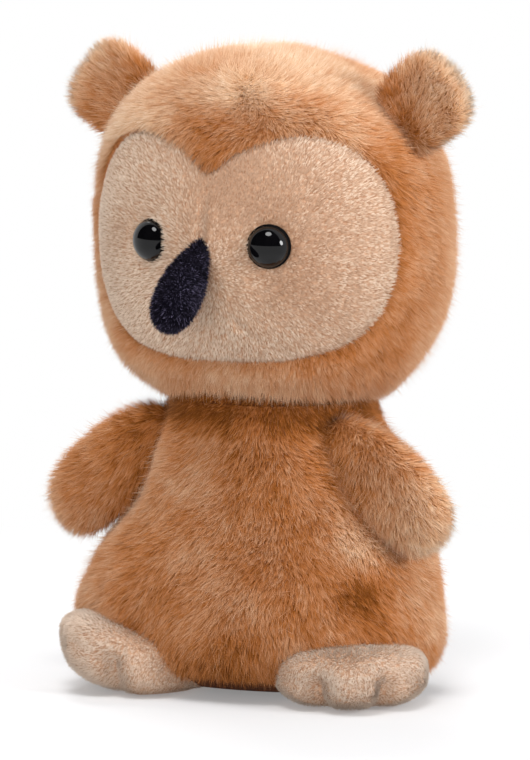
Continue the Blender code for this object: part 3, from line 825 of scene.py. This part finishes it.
face_outline_shares = np.array([
    (0.000, 0.415), (0.150, 0.515), (0.311, 0.580), (0.500, 0.604), (0.672, 0.550), (0.815, 0.420), (0.900, 0.230),
    (0.930, -0.005), (0.900, -0.239), (0.820, -0.426), (0.665, -0.575), (0.435, -0.650), (0.205, -0.672),
])
half_outline = face_outline_shares * (head_width / 2, head_height / 2)
round_outline = np.concatenate([half_outline, (half_outline * (-1, 1))[:0:-1]])
outline_loop = smooth_rows(np.concatenate([round_outline[-2:], round_outline, round_outline[:3]]), 29 * 8 + 1 + 24)
outline_loop = outline_loop[(np.abs(np.arctan2(outline_loop[:, 0], outline_loop[:, 1])) <= math.pi)]
outline_angle = np.arctan2(outline_loop[:, 0], outline_loop[:, 1])
outline_reach = np.linalg.norm(outline_loop, axis=1)
order = np.argsort(outline_angle)
outline_angle, outline_reach = outline_angle[order], outline_reach[order]


def face_margin(place):
    """How far inside the face's outline a place on the head lies, in metres. It is below 0 outside."""
    ray = place - head_centre
    level = np.hypot(ray[:, 0] / (head_width / 2), ray[:, 1] / (head_depth / 2)) ** head_bluntness
    level = level + np.abs(ray[:, 2] / (head_height / 2)) ** head_bluntness
    ray = ray / (level ** (1 / head_bluntness))[:, None]
    x, z = ray[:, 0], ray[:, 2]
    reach = np.interp(np.arctan2(x, z), outline_angle, outline_reach, period=math.tau)
    margin = reach - np.hypot(x, z)
    return np.where(place[:, 1] < head_centre[1], margin, -0.05)


head_points, head_faces = head_form(cloth_inset, 128, 80)
head_out = normals_of(head_points, head_faces)
sink = np.clip((face_margin(head_points) + 0.0018) / 0.0033, 0, 1) ** 1.5 * 0.0028
head_points = head_points - head_out * sink[:, None]
head_folds = [
    (42, 8, 106, 24, -2.4), (38, 0, 84, 14, -1.8), (-38, -14, 94, 16, 0.8), (-33, -10, 74, 15, 2.2),
    (-22, -4, 140, 18, 0.3), (22, 4, 142, 18, -2.3), (13, -23, 66, 8, 0.9), (-1, -26, 67, 6, -3.2),
    (26, -14, 66, 7, 0.9),
]
rise = patches(head_points, head_folds) / 1000 + smooth_noise(head_points, 0.014, 31) * 0.0003
head_points = head_points + head_out * rise[:, None]
from_pivot = head_points - neck_pivot
gap = np.linalg.norm(from_pivot, axis=1)
socket_radius = neck_radius + 0.0006
inside = gap < socket_radius
head_points[inside] = neck_pivot + from_pivot[inside] * (socket_radius / gap[inside])[:, None]
cloth_piece("head_cloth", head_points, head_faces, fur_backing, "head", ("head_cover", "head_fill"))

# %% Head fur
# Spots of tone. The dark V above the face and the paler crown sides are the fur's own patches. The dark spots at the
# chin notch and under the chin are painted shade. The light spots at the front of the crown are painted light against
# the shade among its hairs.
head_tone_light_and_shade_spots = [
    (0, -26, 123, 7, -0.24), (0, -22, 131, 8, -0.17), (8, -20, 134, 6, -0.10), (-8, -20, 134, 6, -0.10),
    (9, -15, 143, 4, 0.10), (-8, -17, 139, 6, 0.24), (3, -16, 138, 5, 0.28), (2, -13, 146, 5, 0.16),
    (28, -14, 130, 12, 0.14), (-30, -12, 128, 15, 0.22), (14, 0, 144, 14, 0.18),
    (-16, 0, 142, 14, 0.20), (0, 8, 146, 12, 0.16), (0, -26, 68, 9, -0.08), (40, -6, 104, 18, -0.34),
    (36, -2, 128, 10, -0.10), (24, -18, 68, 7, -0.14), (-1, -27, 67, 5, -0.40), (38, 0, 78, 12, -0.10),
]


def head_nap(place, out):
    parting = np.array([0, -0.013, 0.1462]) + np.clip(place[:, :1], -0.013, 0.013) * np.array([1, 0, -0.12])
    crown = unit(place - parting)
    face = away_from(0, -34, 103)(place, out)
    aside = np.exp(-((place[:, 1:2] + 0.0155) ** 2 + (place[:, 2:3] - 0.138) ** 2) / 0.006**2)
    crown = crown + np.tanh((place[:, :1] - 0.002) / 0.003) * aside * 1.1 * np.array([1, 0, 0])
    low = np.clip((0.118 - place[:, 2:3]) / 0.03, 0, 1) * np.clip((0.030 - place[:, 1:2]) / 0.02, 0, 1)
    return unit(crown * (1 - 0.3 * low) + face * 0.7 * low + np.array([0, 0, -0.2]))


def head_tone_light_and_shade(place, out):
    shade = 0.51 + smooth_noise(place, 0.012, 41) * 0.06 + patches(place, head_tone_light_and_shade_spots)
    shade = shade + smooth_noise(place, 0.005, 42) * 0.05
    seam = np.exp(-((np.minimum(face_margin(place), 0) / 0.0008) ** 2))
    # Darker along the seam round the face, and darker on the underside towards the neck as painted shade.
    return shade - 0.12 * seam - 0.30 * np.clip((0.068 - place[:, 2]) / 0.004, 0, 1)


def head_length(place, out):
    x, z = place[:, 0], place[:, 2] - head_centre[2]
    notch = np.exp(-(((x / 0.010) ** 2) + ((z - 0.020) / 0.012) ** 2))
    near = np.clip(-face_margin(place) / 0.004, 0, 1)
    brow = np.clip((z - 0.008) / 0.006, 0, 1)
    short = 0.62 + 0.38 * near + (0.16 * brow - 0.10 * notch) * (1 - near)
    return 0.0037 * short * np.clip((place[:, 2] - 0.058) / 0.010, 0.7, 1)


def head_lean(place, out):
    near = np.clip(-face_margin(place) / 0.004, 0, 1)
    chin = np.clip((0.074 - place[:, 2]) / 0.006, 0, 1)
    return np.where(place[:, 2] < head_centre[2] + 0.010, 0.72 + 0.10 * near, 0.82) - 0.25 * chin


def head_keep(place, out):
    away = np.linalg.norm(place - neck_pivot, axis=1)
    brow = np.clip((place[:, 2] - head_centre[2] - 0.008) / 0.006, 0, 1)
    return (face_margin(place) < 0.0006 - 0.0012 * brow) & (away > socket_radius + 0.0004)


def rim_keep(place, out):
    margin = face_margin(place)
    return (margin < 0.0006) & (margin > -0.0026) & (place[:, 2] < head_centre[2] + 0.008)


grow(
    "head_fur", (head_points, head_faces), "head", fur_pile, 15.0, head_length, 0.00015, head_lean, head_nap,
    head_tone_light_and_shade, 201, head_keep, settle=1.0, upright=1.0,
)
grow(
    "face_rim_fur", (head_points, head_faces), "head", fur_pile, 14.0, 0.0032, 0.00015, 0.75, head_nap, head_tone_light_and_shade,
    202, rim_keep,
)


def crown_keep(place, out):
    return ((place - np.array([0.003, -0.016, 0.139])) ** 2).sum(1) < 0.0085**2


grow(
    "crown_fur", (head_points, head_faces), "head", fur_pile, 13.0, 0.0030, 0.00015, 0.95, head_nap,
    lambda place, out: head_tone_light_and_shade(place, out) + 0.06, 204, crown_keep, stray=0.45, patchy=0.15, locky=0.3,
)
guard_hairs(
    "head_guard", (head_points, head_faces), "head", lambda place, out: head_length(place, out) * 1.4, 0.70, head_nap,
    lambda place, out: head_tone_light_and_shade(place, out) + 0.15, 203, head_keep,
)

# %% [markdown]
# ## Face
#
# The face is one panel of velour, sewn to the fur all round, with a notch at the brow.
# It sinks a little towards its seam and round each eye, where the thread pulls it in.


# %% Face cloth
beak_root_swell = 0.0020


def face_swell(x, z):
    """How far the stuffing pushes the face forwards round the root of the beak."""
    root = beak_root_swell * np.exp(-((x / 0.0095) ** 2) - ((z + 0.001) / 0.0115) ** 2)
    return root + 0.0007 * np.exp(-(((np.abs(x) - 0.0095) / 0.0026) ** 2) - (z / 0.0045) ** 2)


def head_front(x, z, inset):
    """Points on the front of the head at x and z from its centre, and the way out of it."""
    wide, deep, high = head_width / 2 - inset, head_depth / 2 - inset, head_height / 2 - inset
    level = np.maximum(1 - np.abs(z / high) ** head_bluntness, 1e-6) ** (1 / head_bluntness)
    y = -deep * np.sqrt(np.maximum(level**2 - (x / wide) ** 2, 1e-6))
    steep = level ** (2 - head_bluntness) * np.abs(z / high) ** (head_bluntness - 1) / high
    out = unit(np.stack([x / wide**2, y / deep**2, np.copysign(steep, z)], 1))
    return np.stack([x, y, z], 1) + head_centre, out


eye_spacing, eye_rise, eye_width = 0.0302, 0.0002, 0.0100
pile_height = 0.0006


def face_place(x, z, depth):
    """Points at a depth under the front of the head, on rays from its centre, and the way out of it."""
    place, out = head_front(x, z, 0)
    ray = place - head_centre
    return head_centre + ray * (1 - depth / (ray * out).sum(1))[:, None], out


def face_form(segments, rings):
    angles = np.arange(segments) * math.tau / segments
    reach = np.interp(angles, outline_angle, outline_reach, period=math.tau) - 0.0003
    shares = [ring / rings for ring in range(1, rings + 1)]
    front, back = [], []
    for share in shares:
        spread = 1 - (1 - share) ** 1.35
        x, z = np.sin(angles) * reach * spread, np.cos(angles) * reach * spread
        place, out = face_place(x, z, face_recess + pile_height)
        edge = reach * (1 - spread)
        dip = 0.0008 * np.clip(1 - edge / 0.0026, 0, 1) ** 2
        for way in (1, -1):
            gap = np.hypot(x - way * eye_spacing / 2, z - eye_rise)
            dip = dip + 0.0008 * np.exp(-((gap / 0.0075) ** 2))
        crease = np.exp(-((x / 0.0012) ** 2)) * np.clip((z + 0.001) / 0.003, 0, 1) * np.clip((0.013 - z) / 0.009, 0, 1)
        dart = np.abs((x - 0.0085) * 0.70 + (z + 0.0195) * 0.72)
        dart_run = np.clip(1 - np.abs((x - 0.0085) * 0.72 - (z + 0.0195) * 0.70) / 0.0065, 0, 1)
        dip = dip + 0.00110 * crease + 0.0006 * np.exp(-((dart / 0.0009) ** 2)) * dart_run
        place = place - out * dip[:, None]
        place[:, 1] -= face_swell(x, z)
        front.append(place)
        back.append(face_place(x, z, face_recess + pile_height + 0.0016)[0])
    middle, out = face_place(np.zeros(1), np.zeros(1), face_recess + pile_height)
    middle[:, 1] -= face_swell(0, 0)
    points = [*middle, *np.concatenate(front), *np.concatenate(back), *(middle - out * 0.0016)]
    faces = []
    last = len(points) - 1
    back_start = 1 + rings * segments
    for step in range(segments):
        following = (step + 1) % segments
        faces.append((0, 1 + following, 1 + step))
        faces.append((last, back_start + step, back_start + following))
        for ring in range(rings - 1):
            near, far = 1 + ring * segments, 1 + (ring + 1) * segments
            faces.append((near + step, near + following, far + following, far + step))
            near, far = back_start + ring * segments, back_start + (ring + 1) * segments
            faces.append((near + following, near + step, far + step, far + following))
        edge, under = 1 + (rings - 1) * segments, back_start + (rings - 1) * segments
        faces.append((edge + step, edge + following, under + following, under + step))
    return np.array(points), faces


face_points, face_faces = face_form(160, 44)
if (normals_of(face_points, face_faces)[0] @ np.array([0, -1, 0])) < 0:
    face_faces = [face[::-1] for face in face_faces]
cloth_piece("face_cloth", face_points, face_faces, velour_backing, "head", ("face_panel",))

# %% Face velour
# Spots of tone. The dark spots high on the face are painted shade against the light from above, and the light spots low
# on the face are painted light. The others are the velour's own patches.
face_tone_light_and_shade_spots = [
    (6, -28, 120, 14, -0.54), (20, -24, 96, 12, -0.44), (8, -28, 80, 14, 0.26), (-24, -22, 118, 14, 0.04),
    (20, -22, 120, 12, -0.16), (0, -30, 106, 3, -0.16), (-10, -28, 92, 9, 0.06), (-20, -22, 78, 12, 0.16),
    (28, -20, 86, 10, 0.08),
]


def face_nap(place, out):
    return unit(away_from(0, -34, 98)(place, out) + np.array([0, 0, 0.12]))


def face_tone_light_and_shade(place, out):
    seam = np.exp(-((face_margin(place) / 0.0012) ** 2))
    return 0.42 + smooth_noise(place, 0.006, 51) * 0.07 + patches(place, face_tone_light_and_shade_spots) - 0.25 * seam


def eye_gap(place):
    """How far a place on the face is from the rim of the nearer eye."""
    x, z = np.abs(place[:, 0]) - eye_spacing / 2, place[:, 2] - head_centre[2] - eye_rise
    return np.hypot(x, z) - eye_width / 2


def face_lean(place, out):
    return 0.82 - 0.40 * np.exp(-((np.maximum(eye_gap(place), 0) / 0.0008) ** 2))


def face_length(place, out):
    round_eye = np.exp(-((np.maximum(eye_gap(place), 0) / 0.0010) ** 2))
    return 0.00125 + 0.0002 * round_eye + 0.0004 * np.exp(-((face_margin(place) / 0.0010) ** 2))


def face_keep(place, out):
    free = face_margin(place) > 0.0004
    return free & (eye_gap(place) > -0.0005) & (out[:, 1] < 0.1)


grow(
    "face_velour", (face_points, face_faces), "head", velour_pile, 13.0, face_length, 0.00021, face_lean,
    face_nap, face_tone_light_and_shade,
    301, face_keep, gather=0.75, tuft=0.00070, stray=0.18, patchy=0.58, locky=0.3,
)

# %% [markdown]
# ## Eyes
#
# Each eye is a polished black dome on a thin flange, which sits on the velour.
# It is turned about its own axis from a profile, like a button.

# %% Eyes
eye_finish = bpy.data.materials.new("eye_gloss")
eye_finish.use_nodes = True
eye_tree = eye_finish.node_tree
eye_shader = eye_tree.nodes["Principled BSDF"]
eye_shader.inputs["IOR"].default_value = 1.38
eye_place = eye_tree.nodes.new("ShaderNodeTexCoord")
eye_noise = eye_tree.nodes.new("ShaderNodeTexNoise")
eye_noise.inputs["Scale"].default_value = 600
eye_tree.links.new(eye_place.outputs["Object"], eye_noise.inputs["Vector"])
eye_rough = eye_tree.nodes.new("ShaderNodeMapRange")
eye_rough.inputs["To Min"].default_value = 0.03
eye_rough.inputs["To Max"].default_value = 0.07
eye_tree.links.new(eye_noise.outputs["Fac"], eye_rough.inputs["Value"])
eye_tree.links.new(eye_rough.outputs["Result"], eye_shader.inputs["Roughness"])
eye_ramp = eye_tree.nodes.new("ShaderNodeValToRGB")
eye_ramp.color_ramp.elements[0].color = (0.0008, 0.0008, 0.0011, 1)
eye_ramp.color_ramp.elements[1].color = (0.0026, 0.0024, 0.0029, 1)
eye_tree.links.new(eye_noise.outputs["Fac"], eye_ramp.inputs["Fac"])
eye_tree.links.new(eye_ramp.outputs["Color"], eye_shader.inputs["Base Color"])

eye_rim = cloth_material("eye_rim", (3, 3, 4), (7, 6, 7), 0.002, 0.05)
eye_sink, eye_dome, eye_skirt = 0.0012, 0.0035, 0.0007
post_width, post_length, post_point = 0.0030, 0.0090, 0.0012


def eye_piece(side, way):
    place, out = head_front(np.array([way * eye_spacing / 2]), np.array([eye_rise]), face_recess)
    seat = place[0] - out[0] * (eye_sink - (0.0003 if way > 0 else -0.0003))
    radius = eye_width / 2
    profile = [(0, -post_length), (post_width / 2, post_point - post_length), (post_width / 2, 0), (radius - 0.0002, 0)]
    profile += [(radius, 0.0002), (radius, 0.0005), (radius - 0.0003, eye_skirt)]
    for angle in np.linspace(math.pi / 2, 0, 25)[1:]:
        profile.append(((radius - 0.0003) * math.sin(angle), eye_skirt + eye_dome * math.cos(angle)))
    rows = [(height, across, across, 0) for across, height in profile]
    points, faces = ring_form(rows, 72)
    turn = Vector(out[0]).to_track_quat("Z", "Y").to_matrix()
    points = points @ np.array(turn).T + seat
    mesh = bpy.data.meshes.new(f"{side}_eye_dome")
    mesh.from_pydata(points.tolist(), [], faces)
    mesh.shade_smooth()
    mesh.materials.append(eye_finish)
    mesh.materials.append(eye_rim)
    height = (points - seat) @ out[0]
    low = [max(height[corner] for corner in face) < eye_skirt + eye_dome * 0.30 for face in faces]
    mesh.polygons.foreach_set("material_index", np.array(low, np.int32))
    made = bpy.data.objects.new(mesh.name, mesh)
    bpy.context.scene.collection.objects.link(made)
    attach(made, "head")
    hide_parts(f"{side}_eye")
    print(made.name, len(faces), "faces")


for side, way in (("left", 1), ("right", -1)):
    eye_piece(side, way)

# %% [markdown]
# ## Beak
#
# The beak is a drop of dark velour. It hangs forwards and down from its narrow end, which is sewn to the face.


# %% Beak
def placed(points, along, place, roll=0.0):
    """Points of an upright form, turned so that Z lies along a way, and moved to a place."""
    turn = Vector(along).to_track_quat("Z", "X").to_matrix()
    spin = np.array([[math.cos(roll), -math.sin(roll), 0], [math.sin(roll), math.cos(roll), 0], [0, 0, 1]])
    return points @ spin.T @ np.array(turn).T + place


beak_length, beak_width, beak_depth = 0.0278, 0.0112, 0.0115
beak_slope = math.radians(43)
beak_way = np.array([0, -math.cos(beak_slope), -math.sin(beak_slope)])
beak_start = head_front(np.zeros(1), np.array([-0.0010]), face_recess)[0][0]
beak_middle = beak_start + beak_way * (beak_length / 2 - 0.0044) - np.array([0, beak_root_swell, 0])
beak_inset = 0.0009
beak_points, beak_faces = ring_form(
    swollen_rows(
        beak_length - 2 * beak_inset, beak_width - 2 * beak_inset, beak_depth - 2 * beak_inset, (1.55, 2.30), 0.30, 40
    ), 48,
)
beak_points = placed(beak_points, beak_way, beak_middle, math.pi / 2)
cloth_piece(
    "beak_cloth", beak_points, beak_faces, navy_backing, "head", ("beak_cover", "beak_fill")
)


def beak_tone(place, out):
    random = np.random.default_rng(61)
    specks = (random.random(len(place)) < 0.09) * random.uniform(0.4, 1.0, len(place))
    return 0.06 + smooth_noise(place, 0.003, 62) * 0.05 + specks


grow(
    "beak_velour", (beak_points, beak_faces), "head", navy_pile, 12.0, 0.0014, 0.00026, 0.62,
    lambda place, out: np.broadcast_to(beak_way, place.shape), beak_tone, 401, gather=0.7, tuft=0.0009,
    stray=0.35, patchy=0.16, locky=0.2,
)

# %% [markdown]
# ## Ears
#
# Each ear is a flat tab of fur, two layers sewn together, cupped forwards and open to the front.

# %% Ears
ear_width, ear_height, ear_thickness, ear_cup = 0.0236, 0.0242, 0.0090, 0.0040
ear_lean, ear_stand, ear_forward = math.radians(51.5), 0.0032, 0.0016
ear_inset = 0.0020


def head_reach(way_x, way_z, forward):
    """How far the head reaches from its centre along a way in its side to side plane."""
    low, high = 0.0, head_width
    while high - low > 1e-6:
        middle = (low + high) / 2
        x, z = middle * way_x / (head_width / 2), middle * way_z / (head_height / 2)
        level = max(0, 1 - min(1, abs(z)) ** head_bluntness) ** (2 / head_bluntness)
        inside = x**2 + (forward / (head_depth / 2)) ** 2 < level
        low, high = (middle, high) if inside else (low, middle)
    return low


ear_cosine, ear_sine = math.cos(ear_lean), math.sin(ear_lean)
ear_reach = head_reach(ear_sine, ear_cosine, ear_forward)


def ear_form(way, inset, segments, rings):
    points, faces = ring_form(
        swollen_rows(
            ear_height - 2 * inset, ear_width - 2.8 * inset, ear_thickness - 1.4 * inset,
            (2.3, 3.1), 0.08, rings,
        ),
        segments,
    )
    points[:, 1] -= ear_cup * (points[:, 0] / (ear_width / 2)) ** 2
    points[:, 1] -= ear_cup / 2 * (np.maximum(0, points[:, 2]) / (ear_height / 2)) ** 2
    across = np.array([ear_cosine, 0, -way * ear_sine])
    upward = np.array([way * ear_sine, 0, ear_cosine])
    seat = head_centre - np.array([0, ear_forward, 0]) + upward * ear_reach
    place = seat + upward * ear_stand
    points = points[:, :1] * across + points[:, 1:2] * np.array([0, 1, 0]) + points[:, 2:] * upward + place
    return points, faces, seat, upward


for side, way in (("left", 1), ("right", -1)):
    ear_points, ear_faces, ear_seat, ear_upward = ear_form(way, ear_inset, 48, 32)
    cloth_piece(
        f"{side}_ear_cloth", ear_points, ear_faces, fur_backing, f"{side}_ear",
        (f"{side}_ear_front", f"{side}_ear_back"),
    )

    def ear_nap(place, out):
        return unit(place - (ear_seat - ear_upward * 0.010))

    def ear_tone_light_and_shade(place, out):
        height = (place - ear_seat) @ ear_upward
        front = out[:, 1] < -0.2
        shade = (0.80 if way > 0 else 0.67) + smooth_noise(place, 0.006, 71) * 0.06
        # Painted shade and light: darker towards the ear's base and on its front, paler towards its top.
        shade = shade + 0.38 * np.clip((height - 0.008) / 0.009, -1, 1)
        return shade - 0.08 * front

    def ear_keep(place, out):
        level = np.abs((place - head_centre) / (head_width / 2, head_depth / 2, head_height / 2))
        return (level[:, 0] ** 2 + level[:, 1] ** 2 + level[:, 2] ** 2.3) > 0.86

    grow(
        f"{side}_ear_fur", (ear_points, ear_faces), f"{side}_ear", fur_pile, 19.0, 0.0040, 0.00015, 0.90, ear_nap,
        ear_tone_light_and_shade, 501 + way, ear_keep, gather=0.5, tuft=0.0013, upright=1.05, locky=1.4,
    )
    guard_hairs(
        f"{side}_ear_guard", (ear_points, ear_faces), f"{side}_ear", 0.0050, 0.75, ear_nap,
        lambda place, out: ear_tone_light_and_shade(place, out) + 0.25, 511 + way, ear_keep,
    )

# %% [markdown]
# ## Wings
#
# A wing is a stuffed paddle, sewn in at the shoulder and drooping along the body.

# %% Wings
wing_length, wing_width, wing_thickness, wing_root = 0.0328, 0.0240, 0.0135, 0.0080
wing_droop, wing_sweep = math.radians(41), math.radians(5)
wing_taper, wing_bluntness = 0.20, (2.2, 2.5)


def wing_form(way, inset, segments, rings):
    size = [length - 2 * inset for length in (wing_length + wing_root, wing_width, wing_thickness)]
    points, faces = ring_form(swollen_rows(*size, wing_bluntness, wing_taper, rings), segments)
    angle, sweep = way * (math.pi / 2 + wing_droop), -way * wing_sweep
    lift = np.array([[math.cos(angle), 0, math.sin(angle)], [0, 1, 0], [-math.sin(angle), 0, math.cos(angle)]])
    swing = np.array([[math.cos(sweep), -math.sin(sweep), 0], [math.sin(sweep), math.cos(sweep), 0], [0, 0, 1]])
    turn = swing @ lift
    along = turn @ np.array([0, 0, 1])
    shoulder = np.array([way * 0.024298, -0.0045, 0.0573])
    return points @ turn.T + shoulder + along * (wing_length - wing_root) / 2, faces, shoulder, along


wing_folds = {
    "left": [(33, -3, 33, 10, -2.6), (40, -2, 29, 8, -1.2), (46, -4, 48, 9, -0.6)],
    "right": [(-48, -3, 48, 11, -2.0), (-34, -2, 35, 8, -1.5)],
}
for side, way in (("left", 1), ("right", -1)):
    wing_points, wing_faces, shoulder, wing_along = wing_form(way, cloth_inset, 72, 48)
    lumps = smooth_noise(wing_points, 0.010, 80 + way) * 0.0003 + patches(wing_points, wing_folds[side]) / 1000
    wing_points = wing_points + normals_of(wing_points, wing_faces) * lumps[:, None]
    cloth_piece(
        f"{side}_wing_cloth", wing_points, wing_faces, fur_backing, f"{side}_wing",
        (f"{side}_wing_cover", f"{side}_wing_fill"),
    )

    def wing_nap(place, out):
        return unit(wing_along + 0.5 * unit(place - (shoulder - wing_along * 0.01)) + np.array([0, 0, -0.15]))

    def wing_tone_and_shade(place, out):
        reach = (place - shoulder) @ wing_along
        # Painted shade: darker near the shoulder and on the side towards the body, paler towards the tip.
        inner_shade = np.clip(-way * out[:, 0] + 0.2, 0, 1)
        shade = (0.58 if way > 0 else 0.35) + smooth_noise(place, 0.008, 85) * 0.06
        shade = shade + smooth_noise(place, 0.004, 86) * 0.05 + 0.28 * np.clip((reach - 0.014) / 0.016, -1, 1)
        return shade - 0.34 * inner_shade

    def wing_keep(place, out):
        return ~in_body(place, 0.0005)

    grow(
        f"{side}_wing_fur", (wing_points, wing_faces), f"{side}_wing", fur_pile, 15.0, 0.0037, 0.00015, 0.80, wing_nap,
        wing_tone_and_shade, 601 + way, wing_keep, gather=0.45, tuft=0.0010, upright=1.05,
    )
    guard_hairs(
        f"{side}_wing_guard", (wing_points, wing_faces), f"{side}_wing", 0.0050, 0.75, wing_nap,
        lambda place, out: wing_tone_and_shade(place, out) + 0.25, 611 + way, wing_keep,
    )

# %% [markdown]
# ## Feet
#
# Each foot is a pad of velour, and two pinched folds part its front edge into three toes.

# %% Feet
foot_width, foot_length, foot_height, foot_flat = 0.0355, 0.0405, 0.0150, 0.0005
fold_angle, fold_spread, fold_depth = math.radians(27), math.radians(10), 0.0046
FEET = {
    "left": (1, 0.67, 0.39, math.radians(27), 0.0),
    "right": (-1, 0.50, 0.49, math.radians(22), math.radians(15)),
}


def foot_form(side, inset, segments, rings):
    way, wide, forward, splay, tilt = FEET[side]
    size = [length - 2 * inset for length in (foot_height + foot_flat, foot_width, foot_length)]
    points, faces = ring_form(swollen_rows(*size, (2.8, 2.7), 0, rings), segments)
    around = np.abs(np.arctan2(points[:, 0], -points[:, 1]))
    fold = np.exp(-(((around - fold_angle) / fold_spread) ** 2))
    reach = np.hypot(points[:, 0], points[:, 1]) / (foot_length / 2)
    fold = fold * np.clip((0.0055 - points[:, 2]) / 0.007, 0, 1)
    points[:, :2] *= (1 - fold * reach**2 * fold_depth / (foot_length / 2))[:, None]
    points[:, 2] *= 1 - fold * reach**4 * fold_depth / (foot_height / 2)
    points[:, 2] *= 1.14 if side == "right" else 1.0
    points[:, 2] += (foot_height - foot_flat) / 2 + math.tan(tilt) * np.maximum(0, points[:, :2] @ (0.66 * way, -0.75))
    points[:, 2] = np.maximum(points[:, 2], inset)
    turn = way * splay
    spin = np.array([[math.cos(turn), -math.sin(turn), 0], [math.sin(turn), math.cos(turn), 0], [0, 0, 1]])
    place = np.array([way * wide * body_width / 2, -forward * body_depth / 2, 0])
    toes = np.array([math.sin(turn), -math.cos(turn), 0])
    return points @ spin.T + place, faces, place, toes


for side in FEET:
    foot_points, foot_faces, foot_place, toes = foot_form(side, pile_height, 120, 40)
    cloth_piece(
        f"{side}_foot_cloth", foot_points, foot_faces, velour_backing, "body",
        (f"{side}_foot_cover", f"{side}_foot_fill"),
    )

    def foot_nap(place, out):
        return unit(unit(place - foot_place - np.array([0, 0, 0.012])) + 0.6 * toes)

    def foot_pile_length(place, out):
        front = np.clip((place - foot_place) @ toes / 0.006 - 1.8, 0, 1)
        return 0.0011 + 0.0006 * front

    def foot_tone(place, out):
        plain = 0.48 if side == "left" else 0.40
        # Painted shade: darker where the foot meets the floor.
        floor_shade = 0.30 * np.exp(-((place[:, 2] / 0.0025) ** 2))
        return plain + smooth_noise(place, 0.005, 91) * 0.05 - floor_shade

    def foot_keep(place, out):
        return (place[:, 2] > 0.0009) & ~in_body(place, 0.0028)

    grow(
        f"{side}_foot_velour", (foot_points, foot_faces), "body", foot_pile, 15.0, foot_pile_length, 0.00018,
        0.80, foot_nap,
        foot_tone, 701 + len(side), foot_keep, gather=0.70, tuft=0.00070, stray=0.18, patchy=0.28,
        locky=0.2,
    )

# %% [markdown]
# ## Inner pieces
#
# The pouch, its pellets and the eyes' washers are inside the toy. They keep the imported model's shapes.

# %% Inner materials
washer_finish = cloth_material("washer_plastic", (200, 200, 196), (225, 225, 222), 0.004, 0.05)
pouch_finish = cloth_material("pouch_cloth", (190, 186, 174), (222, 218, 206), 0.0006, 0.5)
pellet_finish = cloth_material("pellet_plastic", (170, 170, 168), (222, 222, 220), 0.0025, 1.0)
for node, finish in (
    ("left_eye_washer", washer_finish), ("right_eye_washer", washer_finish),
    ("pellet_pouch", pouch_finish), ("pellets", pellet_finish),
):
    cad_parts[node].data.materials.clear()
    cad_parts[node].data.materials.append(finish)
print("inner pieces finished")
